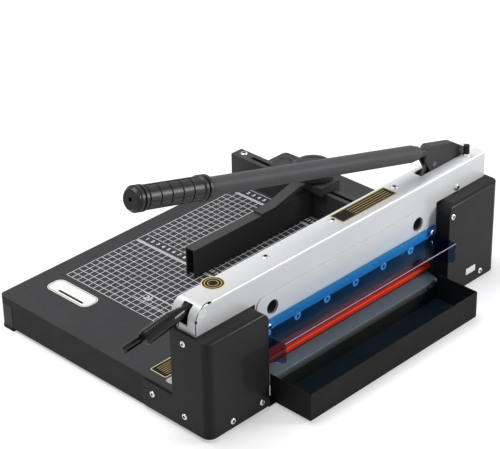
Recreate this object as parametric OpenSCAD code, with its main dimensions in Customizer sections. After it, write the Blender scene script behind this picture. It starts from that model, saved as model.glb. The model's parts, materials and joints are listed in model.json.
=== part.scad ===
// Stack paper cutter, millimetres. Inside the modules X runs along the beam from the middle of the mouth,
// Y runs backwards from the cutting line and Z up from the desk. place() moves all of it so that the
// origin is the middle of the bounding box on the desk.

/* [Table] */
// how far the table's side skirts stand inside the covers' outer faces
table_in = 1.5; // [0.5:0.5:6]
// distance from the cutting line to the back edge of the table
table_d = 340; // [300:1:400]
// height of the table top above the desk
table_h = 46; // [40:1:60]
// thickness of the table sheet
table_sheet = 2; // [1:0.5:3]
// height of the skirts' lower edge above the desk
skirt_lift = 4; // [3:1:12]
// radius of the two back corners
corner_r = 7; // [4:1:12]
// length of a rear leg along the side
leg_d = 24; // [18:1:40]
// width of a rear leg along the back
leg_w = 19; // [16:1:30]
// depth of the skirt left above a rear leg
leg_gap = 10; // [6:1:16]
// height of a rear foot pad
pad_h = 3; // [2:0.5:6]

/* [Side covers] */
// width of the mouth left over beside the blade, both ends together
mouth_room = 25; // [23:1:36]
// width of one cover
cover_w = 99.5; // [97:0.5:114]
// how far the covers stand out past the beam's ends
cover_out = 4; // [0:0.5:8]
// height of the covers above the desk
cover_h = 136; // [130:1:146]
// distance of the cover fronts in front of the cutting line
cover_front = 36; // [30:1:45]
// thickness of the cover sheet
cover_sheet = 1.5; // [1:0.5:2.5]
// radius of the outer front corner
cover_r = 11; // [6:1:18]
// radius of the inner top corner
cover_top_r = 13; // [6:1:20]
// radius of the long upper front edge
cover_edge_r = 6; // [3:0.5:8]
// height of the covers' lower edge above the desk
cover_lift = 5; // [2:0.5:8]
// length of the low foot strip behind a cover
strip_l = 52; // [30:1:80]
// thickness of the side frames inside the covers
frame_t = 13; // [8:1:18]

/* [Beam] */
// width of the beam from front to back
beam_w = 38; // [38:0.5:44]
// distance of the beam's front face in front of the cutting line
beam_front = 14; // [14:0.5:16]
// height of the beam's end parts
beam_h = 36; // [35:1:44]
// how far the beam hangs down between the covers
beam_hang = 44; // [40:1:46]
// thickness of the beam sheet
beam_sheet = 2; // [1:0.5:2.5]
// radius of the bend at the left end
beam_end_r = 20; // [10:1:26]
// radius of the long top edges
beam_edge_r = 4; // [3:0.5:6]
// height of the pressed panel on the front
panel_rise = 1.2; // [0.6:0.2:2]
// diameter of the two round windows in the front
window_d = 19; // [15:1:22]

/* [Main lever] */
// angle of the lever above the beam as drawn
lever_angle = 15; // [14:0.5:18]
// distance of the lever pivot from the beam's right end
pivot_in = 28; // [26:1:30]
// height of the lever pivot above the beam's lower edge
pivot_up = 21; // [20:0.5:22]
// height of the tube's axis over the pivot
lever_rise = 23.2; // [23:0.2:24]
// length from the pivot to the end of the grip
lever_len = 583; // [540:1:640]
// outer diameter of the lever tube
tube_d = 22; // [19:0.5:22]
// wall of the lever tube
tube_wall = 2; // [1.5:0.25:3]
// length of the grip
grip_len = 117; // [100:1:140]
// diameter of the grip over its tiles
grip_d = 28; // [25:0.5:32]
// thickness of the lever head
head_t = 12; // [11:0.5:12.5]
// diameter of the lever pivot pin
pin_d = 12; // [8:0.5:14]
// distance of the drive pin along the lever
drive_s = 56.9; // [55:0.1:58]
// height of the drive pin over the pivot, square to the lever
drive_m = 7.6; // [7:0.1:9]

/* [Blade carriage] */
// length of the blade and its carrier
blade_len = 304; // [280:1:306]
// height of the blade
blade_h = 46; // [40:1:46]
// thickness of the blade
blade_t = 5; // [4:0.5:5]
// height of the blade edge over the table as drawn
blade_lift = 12; // [12:0.2:14]
// thickness of the blade carrier
carrier_t = 6.5; // [6:0.25:6.5]
// slant of the carriage guides from upright
slant = 15; // [13:0.5:16]
// carriage travel upwards
stroke_up = 30.6; // [26:0.2:31]
// carriage travel downwards
stroke_down = 11.7; // [11:0.1:11.7]
// number of blade screws
blade_screw_n = 6; // [4:1:8]

/* [Clamp] */
// height of the clamp pad over the table as drawn
clamp_lift = 40.5; // [36:0.5:41]
// thickness of the clamp bar's web
clamp_t = 7; // [5:0.25:7]
// length of the clamp rocker's long arm
rocker_long = 140; // [120:1:150]
// length of the clamp handle's thick grip
press_grip_len = 44; // [36:1:50]
// diameter of the clamp handle's thick grip
press_grip_d = 18; // [15:0.5:18]
// length of the cone between the thick grip and the beam
press_cone = 16; // [10:1:16]
// diameter of the clamp handle's rod
press_rod_d = 10; // [8:0.5:10]
// reach of the release lever from its pin
release_len = 71; // [60:1:90]
// depth of the release lever's bar
release_h = 10; // [8:0.5:12]

/* [Bed, guard and tray] */
// depth of the cutting stick from front to back
stick_d = 9.5; // [8:0.5:12]
// depth of the red nose strip in front of the stick
nose_d = 5.5; // [5:0.5:8]
// thickness of the guard sheet
guard_t = 3; // [2:0.5:4]
// how far the guard shelf reaches in front of the cutting line
guard_reach = 51; // [44:1:60]
// height of the guard's end wall at its front
guard_drop = 24; // [16:1:30]
// how far the tray reaches in front of the cutting line
tray_reach = 92; // [80:1:130]
// gap between the tray and the covers beside it
tray_gap = 10; // [2:0.5:14]
// height of the tray walls
tray_h = 37; // [25:1:38]
// thickness of the tray sheet
tray_sheet = 1.2; // [0.8:0.2:2]

/* [Fence and gauge] */
// width of the side fence
fence_w = 20; // [18:1:24]
// height of the side fence
fence_h = 40; // [34:1:44]
// distance of the fence's middle inside the right end of the mouth
fence_inset = 2.5; // [0:0.5:10]
// wall of the fence and of the gauge bar
channel_wall = 2; // [1.5:0.5:3]
// width of the fence slot
slot_w = 6; // [5:0.5:8]
// distance of the gauge bar's front from the cutting line
gauge_y = 186; // [180:1:200]
// depth of the gauge bar from front to back
gauge_d = 16; // [12:1:20]
// length of the gauge bar
gauge_len = 219; // [180:1:240]
// diameter of the large gauge knob
knob_d = 54; // [44:1:60]
// diameter of the small gauge knob
small_knob_d = 36; // [28:1:40]

/* [Clearances] */
// gap between neighbouring pieces that are fixed together
seat_gap = 0.3; // [0.1:0.1:0.5]
// radial gap between a turning pin and its bore
run_gap = 0.06; // [0.02:0.01:0.1]
// gap of sliding guides
slide_gap = 0.4; // [0.3:0.1:0.6]
// gap round fastener shanks
bolt_gap = 0.1; // [0.05:0.05:0.2]

/* [Hidden] */
$fn = 48;
mouth = (blade_len + mouth_room) / 2;
half = mouth + cover_w;
beam_end = half - cover_out;
table_x = half - table_in;
table_under = table_h - table_sheet;
cover_back = beam_w - beam_front;
beam_y0 = -beam_front;
beam_y1 = beam_w - beam_front;
beam_in0 = beam_y0 + beam_sheet;
beam_in1 = beam_y1 - beam_sheet;
beam_z0 = cover_h;
beam_z1 = cover_h + beam_h;
beam_low = cover_h - beam_hang;
beam_under = beam_z1 - beam_sheet;
pivot_x = beam_end - pivot_in;
pivot_z = beam_z0 + pivot_up;
lever_y = 9;
head_y0 = lever_y - head_t / 2;
head_y1 = lever_y + head_t / 2;
slot_x0 = pivot_x - 80;
neck_d = 13;
stop_x = beam_end - 28;
stop_y = -5.5;
fork_gap = 5.6;
arm_t = 5;
carrier_y1 = -blade_t;
carrier_y0 = carrier_y1 - carrier_t;
edge_z = table_h + blade_lift;
blade_x0 = -blade_len / 2 - 5;
blade_x1 = blade_x0 + blade_len;
carrier_z0 = edge_z + 4;
carrier_z1 = edge_z + 76;
screw_z = edge_z + 25.5;
guide_z = edge_z + 62;
guide_x = [-mouth + 28.5, mouth - 37.5];
top_screw_x = [guide_x[0] + 14, -5, guide_x[1] - 19];
front_screw_x = mouth + 39.5;
front_screw_z = beam_z0 + 6;
guard_screw_x = [-mouth + 18.5, mouth - 12.5];
blade_pitch = (blade_len - 44) / (blade_screw_n - 1);
blade_screw_x = [for (i = [0:blade_screw_n - 1]) blade_x0 + 15.5 + i * blade_pitch];
arm_x0 = guide_x[1] - 67;
arm_screw_x = [arm_x0 + 8, arm_x0 + 24];
arm_z0 = edge_z + 52;
arm_z1 = edge_z + 72;
drive_x = pivot_x - drive_s * cos(lever_angle) + drive_m * sin(lever_angle);
drive_z = pivot_z + drive_s * sin(lever_angle) + drive_m * cos(lever_angle);
clamp_y1 = beam_in1 - 1.2;
clamp_y0 = clamp_y1 - clamp_t;
pad_z = table_h + clamp_lift;
rocker_x = -mouth + 20.5;
rocker_z = beam_z0 + 12;
rocker_tilt = 6.2;
rocker_short = 68.7;
rocker_end_x = rocker_x + rocker_long * cos(rocker_tilt);
rocker_end_z = rocker_z + rocker_long * sin(rocker_tilt);
press_x = -beam_end + 22;
press_z = beam_z0 + 4;
press_y = 5;
press_dip = 7.6;
press_rise = 25.8;
nose_len = 26;
nose_dip = 16.5;
nose_x = press_x + nose_len * cos(nose_dip);
nose_z = press_z - nose_len * sin(nose_dip);
release_x = -beam_end - 10;
release_z = press_z + 10;
release_y0 = press_y + press_grip_d / 2 + 1;
release_y1 = release_y0 + 6;
release_dip = 5.6;
stick_y1 = 5;
stick_y0 = stick_y1 - stick_d;
nose_y0 = stick_y0 - nose_d;
nose_r = 3.5;
stick_z0 = table_h - 10;
stick_z1 = table_h - 0.2;
rail_y1 = 20;
rail_z0 = table_h - 32;
fence_x = mouth - fence_inset;
fence_y0 = cover_back + 1;
fence_y1 = table_d - 1;
fence_z1 = table_h + fence_h;
fence_in = fence_z1 - channel_wall;
gauge_x1 = fence_x - fence_w / 2 - 2;
gauge_x0 = gauge_x1 - gauge_len;
knob_y = gauge_y + gauge_d / 2 + 1;
small_knob_y = knob_y + 54;
carriage_y0 = knob_y - 32;
carriage_ym = knob_y + 33;
carriage_y1 = knob_y + 73;
carriage_z = fence_z1 + 12;
bracket_t = 3;
tray_w = 2 * (mouth - tray_gap);
tray_z0 = 4;
tray_y1 = -27;
screw_head = 1.6;
top_head = 1.2;
left_reach = release_len * cos(release_dip) + release_h / 2 * sin(release_dip) - release_x;
right_reach = half + screw_head;
origin_x = (left_reach - right_reach) / 2;
origin_y = -(table_d - tray_reach) / 2;

function unit(v) = v / norm(v);
function turn(a) = a > 180 ? a - 360 : (a < -180 ? a + 360 : a);
function corner(a, p, b, r, n) = r <= 0 ? [p] : let(
  u = unit(a - p), v = unit(b - p), h = acos(u * v) / 2,
  c = p + unit(u + v) * r / sin(h),
  s = p + u * r / tan(h) - c, e = p + v * r / tan(h) - c,
  a0 = atan2(s[1], s[0]), w = turn(atan2(e[1], e[0]) - a0))
  [for (k = [0:n]) c + r * [cos(a0 + w * k / n), sin(a0 + w * k / n)]];
function rounded(pts, n = 8) = let(m = len(pts)) [for (i = [0:m - 1])
  let(a = pts[(i + m - 1) % m], p = pts[i], b = pts[(i + 1) % m])
  each corner([a[0], a[1]], [p[0], p[1]], [b[0], b[1]], p[2], n)];

table();
rear_leg_left();
rear_leg_right();
rubber_feet();
left_frame();
right_frame();
left_cover();
right_cover();
cover_screws();
beam();
beam_end_plate();
beam_top_screws();
beam_front_screw();
lever_pivot_pin();
stop_bolt();
stop_bumper();
left_guide();
right_guide();
bed_rail();
cutting_stick();
bed_nose();
waste_chute();
tray_runners();
guard();
guard_screws();
side_fence();
fence_screws();
press_pivot_pin();
rocker_pin();
lever_head();
lever_tube();
lever_grip();
drive_pin();
blade_carrier();
blade();
blade_screws();
guide_pins();
drive_arm();
arm_screws();
press_lever();
press_grip();
press_roller();
release_pin();
release_lever();
clamp_rocker();
clamp_bar();
clamp_pad();
gauge_bar();
gauge_bracket();
gauge_carriage();
gauge_nuts();
large_knob();
small_knob();
waste_tray();

// Placing helpers

module place() {
  translate([origin_x, origin_y, 0]) children();
}

module box(a, b) {
  translate(a) cube(b - a);
}

// outline in X and Z, drawn out along Y
module along_y(y0, y1) {
  translate([0, y1, 0]) rotate([90, 0, 0]) linear_extrude(y1 - y0) children();
}

// outline in Y and Z, drawn out along X
module along_x(x0, x1) {
  translate([x0, 0, 0]) rotate([90, 0, 90]) linear_extrude(x1 - x0) children();
}

module rod_x(y, z, x0, x1, d) {
  translate([x0, y, z]) rotate([0, 90, 0]) cylinder(h = x1 - x0, d = d);
}

module rod_y(x, z, y0, y1, d) {
  translate([x, y1, z]) rotate([90, 0, 0]) cylinder(h = y1 - y0, d = d);
}

module rod_z(x, y, z0, z1, d) {
  translate([x, y, z0]) cylinder(h = z1 - z0, d = d);
}

// lever frame: X along the tube to the grip, Z square to it, origin at the pivot
module on_lever() {
  translate([pivot_x, lever_y, pivot_z]) rotate([0, -lever_angle, 180]) children();
}

// clamp handle frame: X along the rod to its grip, Z square to it, origin on the rod's axis over the pivot
module on_press() {
  translate([press_x, press_y, press_z]) rotate([0, press_dip, 180]) translate([0, 0, press_rise]) children();
}

// release lever frame: X along the bar to its end, Z square to it, origin at its pin
module on_release() {
  translate([release_x, release_y0 + 3, release_z]) rotate([0, release_dip, 180]) children();
}

// Table and feet

module table_plan(edge) {
  polygon(rounded([[-table_x + edge, cover_back + seat_gap, 0], [-mouth + seat_gap, cover_back + seat_gap, 0],
    [-mouth + seat_gap, stick_y1 + seat_gap, 0], [mouth - seat_gap, stick_y1 + seat_gap, 0],
    [mouth - seat_gap, cover_back + seat_gap, 0], [table_x - edge, cover_back + seat_gap, 0],
    [table_x - edge, table_d - edge, corner_r - edge],
    [-table_x + edge, table_d - edge, corner_r - edge]], 10));
}

module table() color("dimgray") place() difference() {
  translate([0, 0, skirt_lift]) linear_extrude(table_h - skirt_lift) table_plan(0);
  translate([0, 0, skirt_lift - 1]) linear_extrude(table_under - skirt_lift + 1) table_plan(table_sheet);
  box([-table_x + table_sheet, -1, skirt_lift - 1], [table_x - table_sheet, cover_back + 10, table_under]);
  for (s = [-1, 1])
    box([s > 0 ? table_x - leg_w : -table_x - 1, table_d - leg_d, skirt_lift - 1],
      [s > 0 ? table_x + 1 : -table_x + leg_w, table_d + 1, table_h - leg_gap]);
  rod_z(fence_x, fence_y1 - 15, table_under - 1, table_h + 1, 5 + 2 * bolt_gap);
  rod_z(fence_x, fence_y0 + 8, table_under - 1, table_h + 1, 5 + 2 * bolt_gap);
  rod_x(side_screws[2][0], side_screws[2][1], -half, half, 4 + 2 * bolt_gap);
}

module rear_leg() {
  translate([0, 0, pad_h]) linear_extrude(table_h - leg_gap - seat_gap - pad_h)
    polygon(rounded([[table_x - leg_w + 1, table_d - leg_d + 1, 0], [table_x, table_d - leg_d + 1, 2],
      [table_x, table_d, corner_r], [table_x - leg_w + 1, table_d, 2]], 10));
  box([table_x - leg_w + 3, table_d - leg_d + 3, table_h - leg_gap - 1],
    [table_x - table_sheet - 4, table_d - table_sheet - 4, table_under]);
}

module rear_leg_left() color("black") place() mirror([1, 0, 0]) rear_leg();

module rear_leg_right() color("black") place() rear_leg();

// foot under a rear leg, standing out a little at the side
module rear_pad() {
  polygon(rounded([[table_x - leg_w, table_d - leg_d, 2], [table_x + 0.8, table_d - leg_d, 2],
    [table_x + 0.8, table_d, corner_r], [table_x - leg_w, table_d, 2]], 8));
}

module rubber_feet() color("dimgray") place() {
  for (s = [-1, 1]) {
    mirror([s > 0 ? 0 : 1, 0, 0]) linear_extrude(pad_h) rear_pad();
    rod_z(s * (mouth + frame_t / 2), 2, 0, 6, frame_t - 1);
  }
}

// Side frames and covers

module side_frame() {
  difference() {
    union() {
      box([mouth, beam_in0, 6], [mouth + frame_t, cover_back - cover_sheet - 0.2, beam_z0 - 4]);
      box([mouth, beam_in0, beam_z0 - 5], [mouth + 47.5, beam_in0 + 9, beam_z0 + 20]);
    }
    box([mouth - 1, clamp_y0 - slide_gap, table_h], [mouth + 4.5, clamp_y1 + slide_gap, beam_z0 + 1]);
  }
}

module left_frame() color("dimgray") place() mirror([1, 0, 0]) side_frame();

module right_frame() color("dimgray") place() difference() {
  side_frame();
  rod_y(front_screw_x, front_screw_z, beam_in0 - 1, beam_in0 + 10, 5 + 2 * bolt_gap);
}

module cover_shell(edge, z0, z1) {
  intersection() {
    translate([0, 0, z0]) linear_extrude(z1 - z0)
      polygon(rounded([[mouth + edge, -cover_front + edge, 0],
        [half - edge, -cover_front + edge, cover_r - edge],
        [half - edge, cover_back - edge, 0], [mouth + edge, cover_back - edge, 0]], 10));
    along_y(-cover_front - 1, cover_back + 1)
      polygon(rounded([[mouth + edge, z0, 0], [half - edge, z0, 0], [half - edge, z1, 0],
        [mouth + edge, z1, cover_top_r - edge]], 10));
    along_x(mouth - 1, half + 1)
      polygon(rounded([[-cover_front + edge, z0, 0], [cover_back - edge, z0, 0],
        [cover_back - edge, z1, 0], [-cover_front + edge, z1, cover_edge_r - edge]], 8));
  }
}

module side_cover() {
  difference() {
    union() {
      cover_shell(0, cover_lift, cover_h);
      along_x(half - cover_sheet, half)
        polygon(rounded([[cover_back - 2, cover_lift, 0], [cover_back + strip_l, cover_lift, 6],
          [cover_back + strip_l, table_h - 4, 6], [cover_back - 2, table_h - 4, 0]], 6));
    }
    cover_shell(cover_sheet, cover_lift - 5, cover_h - cover_sheet);
    box([mouth - 1, beam_y0 - seat_gap, cover_h - cover_sheet - 15],
      [beam_end - cover_sheet, cover_back - cover_sheet, cover_h + 1]);
    box([mouth - 1, beam_in0 - seat_gap, cover_lift - 1],
      [mouth + frame_t + seat_gap, cover_back - cover_sheet, cover_h + 1]);
    box([mouth - 1, cover_back - cover_sheet - 1, cover_lift - 1], [mouth + 1, cover_back + 1, cover_h + 1]);
    for (p = side_screws)
      rod_x(p[0], p[1], half - 3, half + 1, 4 + 2 * bolt_gap);
  }
}

side_screws = [[2.5, cover_h - 14], [4, 21.5], [cover_back + strip_l - 18, 27.5]];
left_front_screws = [[-half + 38, 15], [-mouth - 13, 16.5]];
right_front_screws = [[mouth + 6, cover_h - 15.5], [half - 32, 15]];

module left_cover() color("black") place() difference() {
  mirror([1, 0, 0]) side_cover();
  for (p = left_front_screws)
    rod_y(p[0], p[1], -cover_front - 1, -cover_front + 3, 4 + 2 * bolt_gap);
}

module right_cover() color("black") place() difference() {
  side_cover();
  for (p = right_front_screws)
    rod_y(p[0], p[1], -cover_front - 1, -cover_front + 3, 4 + 2 * bolt_gap);
}

module cover_screws() color("silver") place() {
  for (s = [-1, 1])
    for (p = side_screws) {
      rod_x(p[0], p[1], s > 0 ? half : -half - screw_head, s > 0 ? half + screw_head : -half, 8);
      rod_x(p[0], p[1], s > 0 ? half - 3 : -half - 1, s > 0 ? half + 1 : -half + 3, 4);
    }
  for (p = concat(left_front_screws, right_front_screws)) {
    rod_y(p[0], p[1], -cover_front - screw_head, -cover_front, 8);
    rod_y(p[0], p[1], -cover_front - 1, -cover_front + 3, 4);
  }
}

// Beam and what is fixed in it

module beam_side(edge) {
  polygon(rounded([[-beam_end + edge, beam_z0, 0], [-mouth + seat_gap, beam_z0, 0],
    [-mouth + seat_gap, beam_low, 0], [mouth - seat_gap, beam_low, 0], [mouth - seat_gap, beam_z0, 0],
    [beam_end, beam_z0, 0], [beam_end, beam_z1 - edge, 0],
    [-beam_end + edge, beam_z1 - edge, beam_end_r - edge]], 12));
}

module beam_section(edge) {
  polygon(rounded([[beam_y0 + edge, beam_low, 0], [beam_y1 - edge, beam_low, 0],
    [beam_y1 - edge, beam_z1 - edge, beam_edge_r - edge],
    [beam_y0 + edge, beam_z1 - edge, beam_edge_r - edge]], 6));
}

module beam() color("silver") place() difference() {
  union() {
    difference() {
      intersection() {
        along_y(beam_y0, beam_y1) beam_side(0);
        along_x(-beam_end, beam_end) beam_section(0);
      }
      intersection() {
        along_y(beam_in0 - 1, beam_in1 + 1) union() {
          beam_side(beam_sheet);
          translate([beam_end - 1, beam_z0]) square([3, beam_h - beam_sheet]);
          translate([-beam_end + beam_sheet, beam_z0 - 1]) square([2 * beam_end - beam_sheet, 2]);
          translate([-mouth + seat_gap, beam_low - 1]) square([2 * (mouth - seat_gap), 2]);
          translate([-mouth - 1, beam_low - 1]) square([2 * mouth + 2, beam_hang + 1]);
        }
        along_x(-beam_end - 1, beam_end + 2) union() {
          beam_section(beam_sheet);
          translate([beam_in0, beam_low - 2]) square([beam_in1 - beam_in0, 4]);
        }
      }
    }
    along_y(beam_y0 - panel_rise, beam_y0)
      polygon(rounded([[-mouth + 2.5, beam_low, 0], [mouth - 16.5, beam_low, 0],
        [mouth - 16.5, beam_z0 + 4, 12], [-mouth + 2.5, beam_z0 + 4, 12]], 10));
  }
  box([slot_x0, head_y0 - 0.7, beam_under - 1], [beam_end + 1, head_y1 + 0.7, beam_z1 + 1]);
  box([-beam_end - 1, press_y - press_rod_d / 2 - 2, beam_z0 + 9],
    [-beam_end + 12, press_y + press_rod_d / 2 + 2, beam_z1 - 2.5]);
  for (x = guide_x)
    rod_y(x, guide_z, beam_y0 - 3, beam_in0 + 1, window_d);
  for (x = top_screw_x)
    rod_z(x, lever_y, beam_under - 1, beam_z1 + 1, 5 + 2 * bolt_gap);
  rod_y(front_screw_x, front_screw_z, beam_y0 - 1, beam_in0 + 1, 5 + 2 * bolt_gap);
  rod_y(pivot_x, pivot_z, beam_in1 - 1, beam_y1 + 1, pin_d + 2 * bolt_gap);
  rod_y(press_x, press_z, beam_in1 - 1, beam_y1 + 1, 8 + 2 * bolt_gap);
  rod_y(rocker_x, rocker_z, beam_in1 - 1, beam_y1 + 1, 8 + 2 * bolt_gap);
  rod_z(stop_x, stop_y, beam_under - 1, beam_z1 + 1, 5 + 2 * bolt_gap);
  for (x = guard_screw_x)
    rod_y(x, beam_low + 7, beam_y0 - 3, beam_in0 + 1, 4 + 2 * bolt_gap);
}

module beam_end_plate() color("silver") place() difference() {
  along_x(beam_end - 2.5, beam_end)
    polygon([[beam_in0, beam_z0], [beam_in1, beam_z0], [beam_in1, beam_under - 3], [beam_in1 - 3, beam_under],
      [beam_in0 + 3, beam_under], [beam_in0, beam_under - 3]]);
  box([beam_end - 3, head_y0 - 0.7, beam_under - 9], [beam_end + 1, head_y1 + 0.7, beam_under + 1]);
}

module beam_top_screws() color("silver") place()
  for (x = top_screw_x) {
    rod_z(x, lever_y, beam_z1, beam_z1 + top_head, 10);
    rod_z(x, lever_y, beam_under - 4.5, beam_z1 + 1, 5);
  }

module beam_front_screw() color("silver") place() {
  rod_y(front_screw_x, front_screw_z, beam_y0 - 2, beam_y0, 9);
  rod_y(front_screw_x, front_screw_z, beam_y0 - 1, beam_in0 + 8, 5);
}

module lever_pivot_pin() color("silver") place() {
  rod_y(pivot_x, pivot_z, beam_in0, beam_y1 + 1.5, pin_d);
  rod_y(pivot_x, pivot_z, beam_in0, head_y0 - seat_gap, pin_d + 6);
  rod_y(pivot_x, pivot_z, head_y1 + seat_gap, beam_in1, pin_d + 6);
}

module stop_bolt() color("silver") place() {
  translate([stop_x, stop_y, beam_z1]) cylinder(h = 5, d = 10, $fn = 6);
  rod_z(stop_x, stop_y, beam_under - 3, beam_z1 + 10, 5);
}

module stop_bumper() color("black") place() difference() {
  rod_z(stop_x, stop_y, beam_z1 + 5, beam_z1 + 16, 8);
  rod_z(stop_x, stop_y, beam_z1 + 4, beam_z1 + 10, 5 + 2 * bolt_gap);
}

module guide(x) {
  difference() {
    union() {
      along_y(0.6, 5.6)
        polygon(rounded([[x - 26, guide_z - 24, 6], [x + 19, guide_z - 24, 6], [x + 19, beam_under, 0],
          [x - 26, beam_under, 0]], 6));
      box([x - 26, 0.6, beam_under - 5], [x + 19, clamp_y0 - 0.8, beam_under]);
    }
    along_y(-1, 7) guide_slot(x);
    rod_z(top_screw_x[x < 0 ? 0 : 2], lever_y, beam_under - 6, beam_under + 1, 5 + 2 * bolt_gap);
  }
}

module guide_slot(x) {
  w = 4 + slide_gap;
  translate([x, guide_z]) rotate(-slant) union() {
    translate([0, stroke_up / cos(slant) + 0.4]) circle(r = w);
    translate([0, -stroke_down / cos(slant) - 0.4]) circle(r = w);
    translate([-w, -stroke_down / cos(slant) - 0.4])
      square([2 * w, (stroke_up + stroke_down) / cos(slant) + 0.8]);
  }
}

module left_guide() color("gray") place() guide(guide_x[0]);

module right_guide() color("gray") place() guide(guide_x[1]);

module press_pivot_pin() color("silver") place()
  rod_y(press_x, press_z, beam_in0, beam_y1 + 1.5, 8);

module rocker_pin() color("silver") place() {
  rod_y(rocker_x, rocker_z, clamp_y0 - 2.6, beam_y1 + 1.5, 8);
  rod_y(rocker_x, rocker_z, clamp_y0 - 2.6, clamp_y0 - 0.3, 14);
  rod_y(rocker_x, rocker_z, clamp_y1 + 0.3, beam_in1, 14);
}

// Bed, chute, tray and guard

module bed_rail() color("gray") place()
  along_x(-mouth + seat_gap, mouth - seat_gap)
    polygon([[nose_y0 + 2, rail_z0], [rail_y1, rail_z0], [rail_y1, table_under],
      [stick_y1 + seat_gap, table_under], [stick_y1 + seat_gap, stick_z0], [nose_y0 + 2, stick_z0]]);

module cutting_stick() color("firebrick") place()
  box([-mouth + 3, stick_y0, stick_z0], [mouth - 3, stick_y1, stick_z1]);

module bed_nose() color("red") place() along_x(-mouth + 3, mouth - 3) intersection() {
  union() {
    translate([nose_y0 + nose_r, stick_z0]) square([nose_d, stick_z1 - stick_z0]);
    translate([nose_y0 + nose_r, stick_z1 - nose_r]) circle(r = nose_r);
  }
  translate([nose_y0 - 1, stick_z0]) square([nose_d + 1, 20]);
}

module waste_chute() color("gray") place()
  along_x(-mouth + 7.5, mouth - 7.5)
    polygon([[nose_y0 + 2, tray_z0 + 3], [nose_y0 + 2, stick_z0], [nose_y0 - 16, stick_z0 - 4],
      [nose_y0 - 16, stick_z0 - 8], [nose_y0 - 14.5, stick_z0 - 8], [nose_y0 - 14.5, stick_z0 - 5.3],
      [nose_y0 + 0.5, stick_z0 - 2], [nose_y0 + 0.5, tray_z0 + 3]]);

// angles fixed to the covers' inner walls
module tray_runners() color("black") place()
  for (s = [-1, 1])
    mirror([s > 0 ? 0 : 1, 0, 0])
      along_y(-cover_front + 1, beam_in0 - 3)
        polygon([[mouth - tray_gap - 6, tray_z0 - 1.5], [mouth, tray_z0 - 1.5], [mouth, tray_z0 + 14],
          [mouth - 1.5, tray_z0 + 14], [mouth - 1.5, tray_z0], [mouth - tray_gap - 6, tray_z0]]);

module waste_tray() color("black") place() difference() {
  box([-tray_w / 2, -tray_reach, tray_z0], [tray_w / 2, tray_y1, tray_z0 + tray_h]);
  box([-tray_w / 2 + tray_sheet, -tray_reach + tray_sheet, tray_z0 + tray_sheet],
    [tray_w / 2 - tray_sheet, tray_y1 - tray_sheet, tray_z0 + tray_h + 1]);
  box([-tray_w / 2 + tray_sheet, tray_y1 - 5, stick_z0 - 11],
    [tray_w / 2 - tray_sheet, tray_y1 + 1, tray_z0 + tray_h + 1]);
}

module guard() color("steelblue", 0.6) place() difference() {
  union() {
    along_x(-mouth + 10.5, mouth - 4.5) {
      translate([guard_y - guard_t, beam_low - 2]) square([guard_t, 16]);
      translate([-guard_reach, beam_low - 2]) square([guard_y + guard_reach, guard_t]);
    }
    for (x = [-mouth + 10.5, mouth - 4.5 - guard_t])
      along_x(x, x + guard_t)
        polygon([[-guard_reach, beam_low - 1], [-guard_reach, beam_low - 2 - guard_drop],
          [-20, beam_low - 2 - guard_drop - 0.4 * (guard_reach - 20)], [-20, beam_low - 1]]);
  }
  for (x = guard_screw_x)
    rod_y(x, beam_low + 7, guard_y - guard_t - 1, guard_y + 1, 4 + 2 * bolt_gap);
}

guard_y = beam_y0 - panel_rise;

module guard_screws() color("silver") place()
  for (x = guard_screw_x) {
    rod_y(x, beam_low + 7, guard_y - guard_t - 2, guard_y - guard_t, 8);
    rod_y(x, beam_low + 7, guard_y - guard_t - 1, beam_in0 + 0.2, 4);
  }

// Fence

module side_fence() color("dimgray") place() difference() {
  box([fence_x - fence_w / 2, fence_y0, table_h], [fence_x + fence_w / 2, fence_y1, fence_z1]);
  box([fence_x - fence_w / 2 + channel_wall, fence_y0 - 1, table_h - 1],
    [fence_x + fence_w / 2 - channel_wall, fence_y1 + 1, fence_in]);
  box([fence_x - slot_w / 2, fence_y0 + 18, fence_in - 1],
    [fence_x + slot_w / 2, fence_y1 - 30, fence_z1 + 1]);
  rod_z(fence_x, fence_y1 - 15, fence_in - 1, fence_z1 + 1, 5 + 2 * bolt_gap);
  rod_z(fence_x, fence_y0 + 8, fence_in - 1, fence_z1 + 1, 5 + 2 * bolt_gap);
}

module fence_screws() color("silver") place()
  for (y = [fence_y0 + 8, fence_y1 - 15]) {
    rod_z(fence_x, y, fence_z1, fence_z1 + 3, 10);
    rod_z(fence_x, y, table_under - 2, fence_z1 + 1, 5);
  }

// Main lever

module lever_head() color("dimgray") place() on_lever() difference() {
  union() {
    difference() {
      along_y(-head_t / 2, head_t / 2) union() {
        circle(r = 15);
        polygon(rounded([[2, -14, 4], [58, -7, 10], [78, 13, 6], [78, lever_rise + 9.2, 6],
          [24, lever_rise + 9.2, 24], [-3, lever_rise + 0.3, 12], [-14, 5, 8], [-13, -3, 6]], 10));
      }
      box([20, -fork_gap / 2, -40], [90, fork_gap / 2, lever_rise + 3.2]);
    }
    rod_x(0, lever_rise, 70, 110, neck_d);
    rod_x(0, lever_rise, 103, 135, tube_d - 2 * tube_wall - 2 * seat_gap);
  }
  rod_y(0, 0, -head_t, head_t, pin_d + 2 * run_gap);
  rod_y(drive_s, drive_m, -head_t, head_t, 6 + 2 * bolt_gap);
}

module lever_tube() color("dimgray") place() on_lever() {
  translate([0, 0, lever_rise]) rotate([0, 90, 0]) rotate_extrude() polygon(tube_line());
}

// tube drawn in at its end round the neck of the head
function tube_line() = [[neck_d / 2 + seat_gap, 91], [tube_d / 2 - 2.4, 91], [tube_d / 2, 104],
  [tube_d / 2, lever_len - 4], [tube_d / 2 - tube_wall, lever_len - 4], [tube_d / 2 - tube_wall, 102],
  [neck_d / 2 + seat_gap, 97]];

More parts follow.
